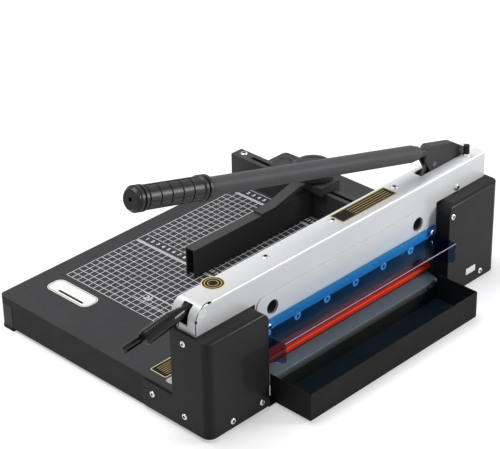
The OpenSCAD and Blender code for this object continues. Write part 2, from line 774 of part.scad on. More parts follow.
module lever_grip() color("black") place() on_lever()
  translate([lever_len, 0, lever_rise]) rotate([0, -90, 0]) difference() {
    rotate_extrude() polygon(grip_line());
    for (a = [0:45:315])
      rotate(a) translate([grip_d / 2 - 1, -1, 17]) cube([3, 2, grip_len - 34]);
  }

function tile_line() = [for (i = [0:4]) let(p = (grip_len - 34) / 5, z = 17 + i * p)
  each [[grip_d / 2 - 1.3, z], [grip_d / 2 - 1.3, z + 1], [grip_d / 2, z + 1.6], [grip_d / 2, z + p - 0.6],
    [grip_d / 2 - 1.3, z + p]]];

function grip_line() = concat([[2.5, 0], [grip_d / 2 - 3, 0], [grip_d / 2 - 0.6, 2.4], [grip_d / 2 - 0.6, 4],
  [grip_d / 2 + 1, 5], [grip_d / 2 + 1, 8.5], [grip_d / 2 - 1.3, 9.3], [grip_d / 2 - 1.3, 10.8],
  [grip_d / 2 + 1, 11.6], [grip_d / 2 + 1, 15]], tile_line(), [[grip_d / 2 + 1, grip_len - 15],
  [grip_d / 2 + 1, grip_len - 11.6], [grip_d / 2 - 1.3, grip_len - 10.8], [grip_d / 2 - 1.3, grip_len - 9.3],
  [grip_d / 2 + 1, grip_len - 8.5], [grip_d / 2 + 1, grip_len - 4], [grip_d / 2 - 1.5, grip_len],
  [tube_d / 2 + seat_gap, grip_len], [tube_d / 2 + seat_gap, 4], [2.5, 4]]);

module drive_pin() color("silver") place() on_lever() {
  rod_y(drive_s, drive_m, -head_t / 2, head_t / 2, 6);
  rod_y(drive_s, drive_m, -arm_t / 2 + 0.2, arm_t / 2 - 0.2, 10);
}

// Blade carriage

module blade_carrier() color("black") place() difference() {
  box([blade_x0, carrier_y0, carrier_z0], [blade_x1, carrier_y1, carrier_z1]);
  for (x = blade_screw_x) {
    rod_y(x, screw_z, carrier_y0 - 1, carrier_y0 + 3, 9 + 2 * bolt_gap);
    rod_y(x, screw_z, carrier_y0, carrier_y1 + 1, 5 + 2 * bolt_gap);
  }
  for (x = guide_x) {
    rod_y(x, guide_z, carrier_y0 - 1, carrier_y0 + 3, 14 + 2 * bolt_gap);
    rod_y(x, guide_z, carrier_y0, carrier_y1 + 1, 8 + 2 * bolt_gap);
  }
  for (x = arm_screw_x) {
    rod_y(x, (arm_z0 + arm_z1) / 2, carrier_y0 - 1, carrier_y0 + 3, 9 + 2 * bolt_gap);
    rod_y(x, (arm_z0 + arm_z1) / 2, carrier_y0, carrier_y1 + 1, 5 + 2 * bolt_gap);
  }
}

module blade() color("silver") place() difference() {
  along_x(blade_x0, blade_x1)
    polygon([[0, edge_z], [0, edge_z + blade_h], [-blade_t, edge_z + blade_h], [-blade_t, edge_z + 10]]);
  for (x = blade_screw_x)
    rod_y(x, screw_z, -blade_t - 1, 1, 5 + 2 * bolt_gap);
}

module blade_screws() color("silver") place()
  for (x = blade_screw_x) {
    rod_y(x, screw_z, carrier_y0, carrier_y0 + 3, 9);
    rod_y(x, screw_z, carrier_y0 + 1, -0.5, 5);
  }

module guide_pins() color("dimgray") place()
  for (x = guide_x) {
    rod_y(x, guide_z, carrier_y0, carrier_y0 + 3, 14);
    rod_y(x, guide_z, carrier_y0 + 1, 6, 8);
  }

module drive_arm() color("dimgray") place() difference() {
  union() {
    along_y(lever_y - arm_t / 2, lever_y + arm_t / 2)
      polygon(rounded([[arm_x0, arm_z0, 3], [drive_x - 39, arm_z0, 10], [drive_x - 11, drive_z - 31, 10],
        [drive_x + 17, drive_z - 18, 10], [drive_x + 26, drive_z - 8, 8], [drive_x + 20, drive_z + 6, 8],
        [drive_x - 7, drive_z + 11, 8], [drive_x - 18, drive_z - 11, 10], [drive_x - 39, arm_z1, 8],
        [arm_x0, arm_z1, 3]], 6));
    box([arm_x0, carrier_y1, arm_z0], [arm_x0 + 32, lever_y, arm_z1]);
  }
  along_y(0, 20) arm_slot();
  for (x = arm_screw_x)
    rod_y(x, (arm_z0 + arm_z1) / 2, carrier_y1 - 1, 5, 5 + 2 * bolt_gap);
}

// curved way of the drive pin in the arm, kept clear by one millimetre
module arm_slot() {
  translate([drive_x, drive_z]) union() {
    circle(r = 6.2);
    translate([13.2, -4.7]) circle(r = 6.2);
    rotate(-19.6) translate([0, -6.2]) square([14.01, 12.4]);
  }
}

module arm_screws() color("silver") place()
  for (x = arm_screw_x) {
    rod_y(x, (arm_z0 + arm_z1) / 2, carrier_y0, carrier_y0 + 3, 9);
    rod_y(x, (arm_z0 + arm_z1) / 2, carrier_y0 + 1, 4, 5);
  }

// Clamp

module press_lever() color("black") place() difference() {
  union() {
    on_press() rod_x(0, 0, 8, 90 - press_grip_len + 12, press_rod_d);
    along_y(press_y - 5, press_y + 5)
      polygon(rounded([[press_x - 10, press_z + 13, 2], [press_x - 5, press_z - 8, 4],
        [press_x + 9, press_z - 6, 4], [press_x + 8, press_z + 12, 6], [press_x - 4, beam_under - 1.8, 4],
        [press_x - 16, beam_under - 2.2, 2], [press_x - 16, press_z + 21, 2]], 5));
    rod_y(press_x, press_z, press_y - 6, press_y + 9, 22);
    along_y(press_y, press_y + 7.6)
      polygon(rounded([[press_x, press_z - 9, 0], [nose_x + 4, nose_z - 5, 4], [nose_x + 5, nose_z + 4, 4],
        [press_x, press_z + 9, 0]], 6));
    rod_y(nose_x, nose_z, press_y + 2, clamp_y1 - 0.4, 5);
    along_y(press_y, release_y1)
      polygon(rounded([[release_x - 4, release_z - 4.5, 4], [release_x + 4, release_z - 4.5, 4],
        [release_x + 4, press_z + 22, 0], [release_x - 4, press_z + 22, 0]], 6));
  }
  rod_y(press_x, press_z, press_y - 10, press_y + 20, 8 + 2 * run_gap);
  along_y(release_y0 - 0.6, release_y1 + 1)
    polygon([[release_x - 9, release_z - 9], [release_x + 9, release_z - 9], [release_x + 9, release_z + 40],
      [release_x - 9, release_z + 40]]);
  rod_y(release_x, release_z, press_y - 9, release_y1 + 1, 4 + 2 * bolt_gap);
}

module press_grip() color("black") place() difference() {
  on_press() difference() {
    rotate([0, 90, 0]) translate([0, 0, 80 - press_grip_len]) rotate_extrude()
      polygon([[0, -press_cone], [press_rod_d / 2 + 1, -press_cone], [press_grip_d / 2 - 0.5, -1],
        [press_grip_d / 2, 2], [press_grip_d / 2, press_grip_len - 2], [press_grip_d / 2 - 2, press_grip_len],
        [0, press_grip_len]]);
    rod_x(0, 0, 60 - press_grip_len, 90 - press_grip_len + 12 + seat_gap, press_rod_d + 2 * bolt_gap);
  }
  box([release_x - 4 - seat_gap, press_y - seat_gap, release_z - 20],
    [release_x + 4 + seat_gap, release_y1 + 5, press_z + 22 + seat_gap]);
}

module press_roller() color("silver") place() difference() {
  rod_y(nose_x, nose_z, clamp_y0, clamp_y1 - 0.4, 8.4);
  rod_y(nose_x, nose_z, clamp_y0 - 1, clamp_y1, 5 + 2 * bolt_gap);
}

module release_pin() color("silver") place() {
  rod_y(release_x, release_z, press_y - 1, release_y1 + 1, 4);
  rod_y(release_x, release_z, release_y1 + 0.4, release_y1 + 2, 8);
}

// bar with a rounded top and bottom and a long recess in its front
module release_lever() color("dimgray") place() on_release() difference() {
  union() {
    along_x(0, release_len) union() {
      translate([0, release_h / 2 - 3]) circle(r = 3);
      translate([0, 3 - release_h / 2]) circle(r = 3);
      translate([-3, 3 - release_h / 2]) square([6, release_h - 6]);
    }
    rod_y(0, 0, -3, 3, release_h);
  }
  box([14, 1.4, -3], [release_len - 4, 4, 3]);
  rod_y(0, 0, -4, 4, 4 + 2 * run_gap);
}

module clamp_rocker() color("gray") place() difference() {
  along_y(clamp_y0, clamp_y1) translate([rocker_x, rocker_z]) rotate(rocker_tilt) union() {
    circle(r = 10);
    polygon(rounded([[-rocker_short - 5, -3, 2], [0, -9, 20], [rocker_long, -1, 0], [rocker_long, 4, 0],
      [0, 8, 20], [-rocker_short - 5, 4, 2]], 6));
    translate([rocker_long, 0]) circle(r = 5);
  }
  rod_y(rocker_x, rocker_z, clamp_y0 - 1, clamp_y1 + 1, 8 + 2 * run_gap);
}

module clamp_bar() color("dimgray") place() {
  box([-mouth - 4, clamp_y0, pad_z + 2], [mouth + 4, clamp_y1, pad_z + 44]);
  box([-mouth + 1, 2, pad_z + 2], [mouth - 1, clamp_y1, pad_z + 7.5]);
  box([rocker_end_x - 10, clamp_y0, pad_z + 40], [rocker_end_x + 10, clamp_y1, rocker_end_z - 5.4]);
}

module clamp_pad() color("black") place()
  box([-mouth + 1, 2.5, pad_z], [mouth - 1, clamp_y1 - 0.5, pad_z + 2]);

// Back gauge

module gauge_bar() color("black") place() difference() {
  box([gauge_x0, gauge_y, table_h + 0.5], [gauge_x1, gauge_y + gauge_d, fence_z1]);
  box([gauge_x0 - 1, gauge_y + channel_wall, table_h - 1],
    [gauge_x1 + 1, gauge_y + gauge_d - channel_wall, fence_z1 - channel_wall]);
}

module gauge_bracket() color("black") place() difference() {
  along_y(gauge_y - 1, gauge_y + gauge_d - 1)
    polygon([[gauge_x1 - 96, fence_z1], [gauge_x1 - 71, fence_z1], [gauge_x1 - 24, carriage_z],
      [fence_x + 16, carriage_z], [fence_x + 16, carriage_z + bracket_t],
      [gauge_x1 - 25, carriage_z + bracket_t], [gauge_x1 - 72, fence_z1 + bracket_t],
      [gauge_x1 - 96, fence_z1 + bracket_t]]);
  rod_z(fence_x, knob_y, carriage_z - 1, carriage_z + bracket_t + 1, 6 + 2 * slide_gap);
}

module gauge_carriage() color("black") place() difference() {
  union() {
    box([fence_x - 18, carriage_y0, fence_z1], [fence_x + 18, carriage_ym, carriage_z]);
    box([fence_x - 18, carriage_ym - 1, fence_z1], [fence_x + 18, carriage_y1, fence_z1 + 5]);
    for (s = [-1, 1])
      box([s > 0 ? fence_x + fence_w / 2 + slide_gap : fence_x - 18, carriage_y0,
          fence_z1 - (s > 0 ? 10 : 0)], [s > 0 ? fence_x + 18 : fence_x - 17, carriage_y1, fence_z1 + 1]);
    box([fence_x - slot_w / 2 + slide_gap, carriage_y0 + 5, fence_in + 0.3],
      [fence_x + slot_w / 2 - slide_gap, carriage_y1 - 16, fence_z1 + 1]);
  }
  for (y = [knob_y, small_knob_y])
    rod_z(fence_x, y, fence_in - 1, carriage_z + 1, 4 + 2 * run_gap);
}

module gauge_nuts() color("silver") place() difference() {
  for (y = [knob_y, small_knob_y])
    box([fence_x - fence_w / 2 + channel_wall + 1, y - 8, fence_in - 6],
      [fence_x + fence_w / 2 - channel_wall - 1, y + 8, fence_in - 0.3]);
  for (y = [knob_y, small_knob_y])
    rod_z(fence_x, y, fence_in - 7, fence_in + 1, 4 + 2 * run_gap);
}

module knob(x, y, z, d, h) {
  difference() {
    translate([x, y, z]) rotate_extrude()
      polygon([[0, 0], [d / 2 - 1, 0], [d / 2, 1], [d / 2, h - 2.5], [d / 2 - 2.5, h], [d / 2 - 6, h],
        [d / 2 - 7, h - 1.5], [0, h - 1.5]]);
    for (a = [0:15:345])
      translate([x, y, z]) rotate(a) translate([d / 2 + 0.6, 0, -1]) cylinder(h = h + 2, r = 1.4, $fn = 16);
  }
}

module large_knob() color("black") place() {
  knob(fence_x, knob_y, carriage_z + bracket_t, knob_d, 17);
  rod_z(fence_x, knob_y, fence_in - 9, carriage_z + bracket_t + 1, 4);
}

module small_knob() color("black") place() {
  knob(fence_x, small_knob_y, fence_z1 + 5, small_knob_d, 10);
  rod_z(fence_x, small_knob_y, fence_in - 9, fence_z1 + 6, 4);
}
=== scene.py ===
"""Looks of a desk stack paper cutter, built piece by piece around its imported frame."""

import json
import math

import bmesh
import bpy
from bpy.props import FloatProperty, FloatVectorProperty, IntProperty, PointerProperty
from mathutils import Matrix, Vector


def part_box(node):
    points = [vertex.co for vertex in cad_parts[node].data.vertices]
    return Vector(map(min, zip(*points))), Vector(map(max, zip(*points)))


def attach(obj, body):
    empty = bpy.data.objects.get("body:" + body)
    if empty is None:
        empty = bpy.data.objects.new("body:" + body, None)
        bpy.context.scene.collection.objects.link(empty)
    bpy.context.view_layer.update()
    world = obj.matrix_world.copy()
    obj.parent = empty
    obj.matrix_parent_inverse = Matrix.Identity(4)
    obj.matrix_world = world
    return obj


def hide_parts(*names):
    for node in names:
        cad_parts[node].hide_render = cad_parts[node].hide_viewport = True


bl_info = {
    "name": "Stack Paper Cutter",
    "version": (1, 0, 0),
    "blender": (4, 5, 0),
    "location": "View3D > Sidebar > Paper Cutter",
    "description": "Builds the looks of a desk stack paper cutter around its packed frame",
    "category": "Object",
}

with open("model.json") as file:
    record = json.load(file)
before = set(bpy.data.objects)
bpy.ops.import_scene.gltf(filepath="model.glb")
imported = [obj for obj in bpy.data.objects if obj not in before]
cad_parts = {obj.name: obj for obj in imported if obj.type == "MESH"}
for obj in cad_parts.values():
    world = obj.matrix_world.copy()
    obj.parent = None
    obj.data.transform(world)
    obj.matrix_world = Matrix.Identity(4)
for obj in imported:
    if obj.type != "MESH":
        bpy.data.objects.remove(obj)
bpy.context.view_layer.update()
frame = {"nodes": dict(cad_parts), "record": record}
MM = 0.001
BODY_OF = {
    node: body
    for body, nodes in frame["record"]["behaviour"]["bodies"].items()
    for node in nodes
}
SLOT_OF = {row["node"]: row["material_slot"] for row in frame["record"]["subparts"]}

# Places are written in millimetres from the middle of the cutting line, on the desk.
MIDDLE_X = (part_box("left_cover")[0].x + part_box("right_cover")[1].x) / 2
CUT_LINE_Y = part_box("blade")[1].y
TABLE_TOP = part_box("table")[1].z / MM
BEAM_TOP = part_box("beam")[1].z / MM
FENCE_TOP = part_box("side_fence")[1].z / MM
BEAM_END = (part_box("beam")[1].x - MIDDLE_X) / MM
COVER_SIDE = (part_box("right_cover")[1].x - MIDDLE_X) / MM
COVER_FRONT = (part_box("right_cover")[0].y - CUT_LINE_Y) / MM
GUARD_LOW, GUARD_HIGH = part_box("guard")
PRINT_X = -174.0
PRINT_Y = 313.0

# A raised panel stands out of the beam's front.
PANEL_RISE = 1.2
BEAM_FRONT = (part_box("beam")[0].y - CUT_LINE_Y) / MM + PANEL_RISE

ALONG = Vector((1, 0, 0))
BACK = Vector((0, 1, 0))
UP = Vector((0, 0, 1))


def at(x, y, z):
    """A place in millimetres from the middle of the cutting line, as metres of the frame."""
    return Vector((MIDDLE_X + x * MM, CUT_LINE_Y + y * MM, z * MM))


# Sizes and colours


def size(label, text, default, low=0.0, high=10000.0):
    return FloatProperty(
        name=label, description=text, default=default, min=low, max=high
    )


def length(label, text, default):
    return FloatProperty(
        name=label,
        description=text,
        default=default * MM,
        min=0.0,
        unit="LENGTH",
        subtype="DISTANCE",
    )


def colour(label, text, default):
    return FloatVectorProperty(
        name=label,
        description=text,
        default=default,
        min=0.0,
        max=1.0,
        size=3,
        subtype="COLOR",
    )


class CutterColours(bpy.types.PropertyGroup):
    table: colour("Table", "Paint of the table", (0.039, 0.0385, 0.041))
    cover: colour("Covers", "Paint of covers and tray", (0.017, 0.017, 0.0175))
    beam: colour("Beam", "Silver paint of the beam", (0.68, 0.69, 0.705))
    guard: colour("Guard", "Tint of the clear guard", (0.2, 0.49, 0.99))
    stick: colour("Cutting stick", "Red of stick and nose strip", (0.80, 0.03, 0.006))
    chute: colour("Chute", "Grey of the chute lip", (0.165, 0.162, 0.156))
    lever: colour("Lever", "Paint of the lever tube", (0.054, 0.054, 0.0575))
    head: colour("Lever head", "Paint of the lever head", (0.022, 0.022, 0.0235))
    gauge: colour("Gauge", "Paint of gauge and fence", (0.04, 0.04, 0.042))
    grip: colour("Grip", "Rubber of the lever grip", (0.013, 0.013, 0.0135))
    gold: colour("Gold", "Foil of the label lines", (0.62, 0.46, 0.16))
    cream: colour("Cream", "Pale borders of the beam's labels", (0.72, 0.63, 0.32))
    ink: colour("Print", "Ink of the table grid", (0.77, 0.78, 0.80))


class CutterPrint(bpy.types.PropertyGroup):
    pitch: length("Pitch", "Spacing of the grid lines", 10)
    cells_x: IntProperty(
        name="Cells across", description="Grid cells along the beam", default=32, min=2
    )
    cells_y: IntProperty(
        name="Cells deep", description="Grid cells back to front", default=28, min=2
    )
    line: length("Line", "Width of a grid line", 0.75)
    film: length("Film", "Thickness of the printed ink", 0.06)
    tick: length("Tick", "Length of the longest ruler tick", 5)
    numeral: length("Numeral", "Height of the ruler numerals", 8)


class CutterEdges(bpy.types.PropertyGroup):
    table: length("Table", "Rounding of the table's edges", 0.9)
    sheet: length("Sheet", "Rounding of bent sheet edges", 0.55)
    casting: length("Casting", "Rounding of the lever head", 2.4)
    moulded: length("Moulded", "Rounding of plastic edges", 0.5)
    thin: length("Thin", "Rounding of thin strips", 0.3)


class CutterScrews(bpy.types.PropertyGroup):
    socket: size("Socket", "Width of the socket as a share of the head", 0.5, 0.1, 0.8)
    crown: size("Crown", "Flat top of the head as a share of its width", 0.7, 0.3, 1.0)
    seed: IntProperty(
        name="Seed", description="Seed of the turn of each screw", default=4, min=0
    )


class CutterStage(bpy.types.PropertyGroup):
    azimuth: FloatProperty(
        name="Azimuth",
        description="Viewing direction round the cutter",
        default=math.radians(-45.248),
        subtype="ANGLE",
    )
    elevation: FloatProperty(
        name="Elevation",
        description="Viewing direction above the desk",
        default=math.radians(29.659),
        subtype="ANGLE",
    )
    roll: FloatProperty(
        name="Roll",
        description="Turn of the camera about its axis",
        default=math.radians(-1.063),
        subtype="ANGLE",
    )
    lens: size("Lens", "Focal length on a 36 mm sensor", 134.35, 10, 400)
    fill: size("Fill", "Strength of the light from all round", 0.24, 0, 5)
    top: size("Top light", "Power of the large top light", 56, 0, 1000)
    side: size("Side light", "Power of the light from the front right", 30, 0, 1000)


class CutterSettings(bpy.types.PropertyGroup):
    colours: PointerProperty(type=CutterColours)
    table_print: PointerProperty(type=CutterPrint)
    edges: PointerProperty(type=CutterEdges)
    screws: PointerProperty(type=CutterScrews)
    stage: PointerProperty(type=CutterStage)


# Node helpers


def put(tree, kind, plugs=None, **settings):
    """Adds a node, sets it and plugs values or sockets into its inputs."""
    node = tree.nodes.new(kind)
    for key, value in settings.items():
        setattr(node, key, value)
    for key, value in (plugs or {}).items():
        if isinstance(value, bpy.types.NodeSocket):
            tree.links.new(value, node.inputs[key])
        else:
            node.inputs[key].default_value = value
    return node


def new_tree(name, kind, inputs, outputs):
    """A node group with its sockets, and its two end nodes."""
    tree = bpy.data.node_groups.new(name, kind)
    for label, socket, default in inputs:
        item = tree.interface.new_socket(label, in_out="INPUT", socket_type=socket)
        if default is not None:
            item.default_value = default
    for label, socket in outputs:
        tree.interface.new_socket(label, in_out="OUTPUT", socket_type=socket)
    start = tree.nodes.new("NodeGroupInput")
    end = tree.nodes.new("NodeGroupOutput")
    return tree, start.outputs, end.inputs


def blend_colour(tree, factor, first, second):
    node = put(tree, "ShaderNodeMix", {0: factor, 6: first, 7: second}, data_type="RGBA")
    return node.outputs[2]


def blend_value(tree, factor, first, second):
    node = put(tree, "ShaderNodeMix", {0: factor, 2: first, 3: second})
    return node.outputs[0]


FLOAT = "NodeSocketFloat"
TINT = "NodeSocketColor"
VECTOR = "NodeSocketVector"
WHOLE = "NodeSocketInt"
SHAPE = "NodeSocketGeometry"
FINISH = "NodeSocketMaterial"
THING = "NodeSocketObject"
SURFACE = [("Colour", TINT), ("Roughness", FLOAT), ("Height", FLOAT)]


def grain_group():
    """Fine grain with slow mottling, for paint, plastic and rubber."""
    tree, give, take = new_tree(
        "surface_grain",
        "ShaderNodeTree",
        [
            ("Grain", FLOAT, 900.0),
            ("Mottle", FLOAT, 22.0),
            ("Colour", TINT, (0.5, 0.5, 0.5, 1)),
            ("Shade", TINT, (0.4, 0.4, 0.4, 1)),
            ("Smooth", FLOAT, 0.4),
            ("Dull", FLOAT, 0.6),
        ],
        SURFACE,
    )
    place = put(tree, "ShaderNodeTexCoord").outputs["Object"]
    fine = put(
        tree,
        "ShaderNodeTexNoise",
        {"Vector": place, "Scale": give["Grain"], "Detail": 2.0, "Roughness": 0.6},
    ).outputs["Fac"]
    slow = put(
        tree,
        "ShaderNodeTexNoise",
        {"Vector": place, "Scale": give["Mottle"], "Detail": 4.0, "Roughness": 0.55},
    ).outputs["Fac"]
    spread = put(
        tree,
        "ShaderNodeMapRange",
        {"Value": slow, "From Min": 0.3, "From Max": 0.7},
    ).outputs[0]
    mixed = blend_value(tree, 0.35, spread, fine)
    tree.links.new(blend_colour(tree, mixed, give["Colour"], give["Shade"]), take["Colour"])
    tree.links.new(blend_value(tree, mixed, give["Smooth"], give["Dull"]), take["Roughness"])
    tree.links.new(fine, take["Height"])
    return tree


def brush_group():
    """Long scratches along one direction, for ground and turned steel."""
    tree, give, take = new_tree(
        "brushed_lines",
        "ShaderNodeTree",
        [
            ("Stretch", VECTOR, (40.0, 40.0, 2000.0)),
            ("Colour", TINT, (0.6, 0.6, 0.62, 1)),
            ("Shade", TINT, (0.5, 0.5, 0.52, 1)),
            ("Smooth", FLOAT, 0.2),
            ("Dull", FLOAT, 0.35),
        ],
        SURFACE,
    )
    place = put(tree, "ShaderNodeTexCoord").outputs["Object"]
    drawn = put(
        tree, "ShaderNodeVectorMath", {0: place, 1: give["Stretch"]}, operation="MULTIPLY"
    ).outputs[0]
    lines = put(
        tree,
        "ShaderNodeTexNoise",
        {"Vector": drawn, "Scale": 1.0, "Detail": 3.0, "Roughness": 0.7},
    ).outputs["Fac"]
    tree.links.new(blend_colour(tree, lines, give["Colour"], give["Shade"]), take["Colour"])
    tree.links.new(blend_value(tree, lines, give["Smooth"], give["Dull"]), take["Roughness"])
    tree.links.new(lines, take["Height"])
    return tree


# Finishes

GROUPS = {}
FINISHES = {}
BUMP_STRENGTH = 0.35
COAT_ROUGHNESS = 0.1
SHEET_IOR = 1.14
GREY_EDGE = 0.8


def opaque(tint, share=1.0):
    """A tint, or a share of it, with the fourth value that colour sockets take."""
    return (tint[0] * share, tint[1] * share, tint[2] * share, 1.0)


def first_node(tree, kind):
    return next(node for node in tree.nodes if node.type == kind)


def coated(name, group, plugs, bump=0.0, metallic=0.0, gloss=0.5, coat=0.0):
    """A material whose colour, roughness and bump come from one of the shared groups."""
    material = bpy.data.materials.new(name)
    material.use_nodes = True
    tree = material.node_tree
    tree.nodes.clear()
    cover = put(tree, "ShaderNodeGroup", node_tree=GROUPS[group])
    for key, value in plugs.items():
        cover.inputs[key].default_value = value
    skin = put(
        tree,
        "ShaderNodeBsdfPrincipled",
        {
            "Base Color": cover.outputs["Colour"],
            "Roughness": cover.outputs["Roughness"],
            "Metallic": metallic,
            "Specular IOR Level": gloss,
            "Coat Weight": coat,
            "Coat Roughness": COAT_ROUGHNESS,
        },
    )
    if bump:
        height = cover.outputs["Height"]
        plugs = {"Height": height, "Strength": BUMP_STRENGTH, "Distance": bump * MM}
        bumps = put(tree, "ShaderNodeBump", plugs)
        tree.links.new(bumps.outputs[0], skin.inputs["Normal"])
    put(tree, "ShaderNodeOutputMaterial", {"Surface": skin.outputs[0]})
    FINISHES[name] = material
    return material


def grained(name, tint, rough, grain=900.0, bump=0.0, shade=0.86, **more):
    """Paint, plastic, rubber or ink, whose roughness lies between two values."""
    plugs = {
        "Grain": grain,
        "Colour": opaque(tint),
        "Shade": opaque(tint, shade),
        "Smooth": rough[0],
        "Dull": rough[1],
    }
    return coated(name, "grain", plugs, bump, **more)


def two_tone(material, height, lower):
    """Gives a paint another colour below a height, in mm over the desk."""
    tree = material.node_tree
    skin = first_node(tree, "BSDF_PRINCIPLED")
    paint = skin.inputs["Base Color"].links[0].from_socket
    place = put(tree, "ShaderNodeTexCoord").outputs["Object"]
    level = put(tree, "ShaderNodeSeparateXYZ", {0: place}).outputs["Z"]
    low = put(tree, "ShaderNodeMath", {0: level, 1: height * MM}, operation="LESS_THAN")
    mixed = blend_colour(tree, low.outputs[0], paint, opaque(lower))
    tree.links.new(mixed, skin.inputs["Base Color"])


def brushed(name, tint, rough, stretch, shade=0.85):
    """Bare metal with fine lines."""
    plugs = {
        "Stretch": stretch,
        "Colour": opaque(tint),
        "Shade": opaque(tint, shade),
        "Smooth": rough[0],
        "Dull": rough[1],
    }
    return coated(name, "brush", plugs, metallic=1.0)


def clear_sheet(name, tint, shadow):
    """See-through coloured acrylic, slightly marked, whose shadow is tinted light."""
    material = grained(name, tint, (0.02, 0.06), grain=160.0, shade=0.97)
    tree = material.node_tree
    skin = first_node(tree, "BSDF_PRINCIPLED")
    skin.inputs["Transmission Weight"].default_value = 1.0
    skin.inputs["IOR"].default_value = SHEET_IOR
    end = first_node(tree, "OUTPUT_MATERIAL")
    path = put(tree, "ShaderNodeLightPath").outputs
    tinted = put(tree, "ShaderNodeBsdfTransparent", {"Color": opaque(shadow)})
    both = put(
        tree,
        "ShaderNodeMixShader",
        {0: path["Is Shadow Ray"], 1: skin.outputs[0], 2: tinted.outputs[0]},
    )
    tree.links.new(both.outputs[0], end.inputs["Surface"])
    return material


class CUTTER_OT_finishes(bpy.types.Operator):
    """Make every finish of the cutter and give it to the nodes that stay"""

    bl_idname = "cutter.finishes"
    bl_label = "Finishes"

    def execute(self, context):
        tints = context.scene.cutter.colours
        GROUPS["grain"] = grain_group()
        GROUPS["brush"] = brush_group()
        table = grained(
            "table_paint", tints.table, (0.44, 0.58),
            grain=1300, bump=0.10, shade=0.9, gloss=0.12,
        )
        two_tone(table, TABLE_TOP - GREY_EDGE, tints.cover)
        grained(
            "black_paint", tints.cover, (0.36, 0.48),
            grain=1500, bump=0.06, shade=0.85, gloss=0.08, coat=0.1,
        )
        grained(
            "silver_paint", tints.beam, (0.26, 0.36),
            grain=2600, bump=0.04, shade=0.95, metallic=0.12, gloss=0.3,
        )
        grained("frame_iron", (0.05, 0.05, 0.053), (0.5, 0.7), grain=500, bump=0.3, metallic=0.6)
        grained("leg_plastic", (0.015, 0.015, 0.0155), (0.32, 0.44), grain=1600, bump=0.08, gloss=0.22)
        grained("foot_rubber", (0.014, 0.014, 0.014), (0.7, 0.85), grain=900, bump=0.15, gloss=0.2)
        grained("carrier_paint", (0.012, 0.012, 0.014), (0.3, 0.45), grain=900, bump=0.06, gloss=0.3)
        grained("clamp_paint", (0.012, 0.012, 0.013), (0.4, 0.55), grain=900, bump=0.06, gloss=0.3)
        grained("stick_red", tints.stick, (0.34, 0.46), grain=700, bump=0.05, shade=0.9, gloss=0.1)
        grained("chute_grey", tints.chute, (0.35, 0.5), grain=1200, bump=0.05, metallic=0.2)
        grained("fence_metal", tints.gauge, (0.4, 0.55), grain=1500, bump=0.06, gloss=0.25)
        grained("gauge_metal", tints.gauge, (0.42, 0.56), grain=1500, bump=0.06, gloss=0.25)
        grained("lever_paint", tints.lever, (0.46, 0.58), grain=1800, bump=0.04, gloss=0.22)
        grained("head_paint", tints.head, (0.42, 0.56), grain=700, bump=0.12, gloss=0.3)
        grained("grip_rubber", tints.grip, (0.3, 0.42), grain=1400, bump=0.08, gloss=0.3)
        grained("press_black", (0.008, 0.008, 0.0085), (0.18, 0.28), grain=1200, bump=0.04, gloss=0.18)
        grained(
            "press_plastic", (0.008, 0.008, 0.0085), (0.14, 0.24),
            grain=1200, bump=0.03, gloss=0.22,
        )
        grained("knob_plastic", (0.03, 0.03, 0.031), (0.42, 0.56), grain=1500, bump=0.08, gloss=0.3)
        brushed("screw_chrome", (0.74, 0.74, 0.76), (0.1, 0.22), stretch=(900, 900, 900))
        brushed("pin_steel", (0.16, 0.16, 0.17), (0.3, 0.44), stretch=(60, 2500, 60))
        brushed("guide_steel", (0.1, 0.1, 0.105), (0.35, 0.5), stretch=(60, 400, 1800))
        brushed("blade_steel", (0.8, 0.8, 0.82), (0.08, 0.16), stretch=(2200, 80, 40))
        grained("grid_ink", tints.ink, (0.5, 0.62), grain=1800, shade=0.92)
        grained("label_black", (0.009, 0.009, 0.01), (0.4, 0.5), grain=900, gloss=0.08)
        grained("label_white", (0.8, 0.8, 0.79), (0.35, 0.45), grain=900, shade=0.95)
        grained("label_grey", (0.42, 0.42, 0.41), (0.4, 0.5), grain=900, shade=0.9)
        grained("label_cream", tints.cream, (0.35, 0.45), grain=900, shade=0.93)
        brushed("label_gold", tints.gold, (0.25, 0.38), stretch=(500, 500, 500))
        # Near-black, dull steel, given below to the guides and pins behind the beam's holes as painted
        # shade.
        grained("black_steel", (0.006, 0.006, 0.0065), (0.6, 0.75), grain=900, bump=0.04, gloss=0.03)
        grained(
            "zinc_plate", (0.84, 0.85, 0.86), (0.3, 0.42),
            grain=1200, bump=0.03, shade=0.9, metallic=0.3,
        )
        # The tray has the covers' paint, mottled darker and with less sheen: painted shade that keeps
        # the low tray darker than the covers.
        grained("tray_shaded_paint", tints.cover, (0.45, 0.6), grain=1500, bump=0.06, shade=0.6, gloss=0.06)
        # Pink-lilac of the thin strip along the guard's front edge: a painted highlight, the glint of
        # the acrylic edge tinted by the red stick behind.
        grained("guard_painted_highlight", (0.46, 0.3, 0.48), (0.3, 0.4), grain=1200, shade=0.9)
        # Near-black for the beam's seam lines, and painted shade at the bottom of the screw sockets.
        grained("dark_gap", (0.004, 0.004, 0.004), (0.7, 0.8), grain=600, gloss=0.1)
        clear_sheet("guard_blue", tints.guard, shadow=(0.46, 0.9, 1.0))
        for name, node in frame["nodes"].items():
            for part in node.material_slots:
                part.material = FINISHES[SLOT_OF[name]]
        # The guides and pins seen through the beam's round holes get the near-black steel, so the
        # holes read dark: painted shade.
        for name in ("guide_pins", "left_guide", "right_guide"):
            for part in frame["nodes"][name].material_slots:
                part.material = FINISHES["black_steel"]
        return {"FINISHED"}


# Shapes

MERGE = 0.002
FLAT_ANGLE = 0.3
EDGE_ANGLE = 32.0


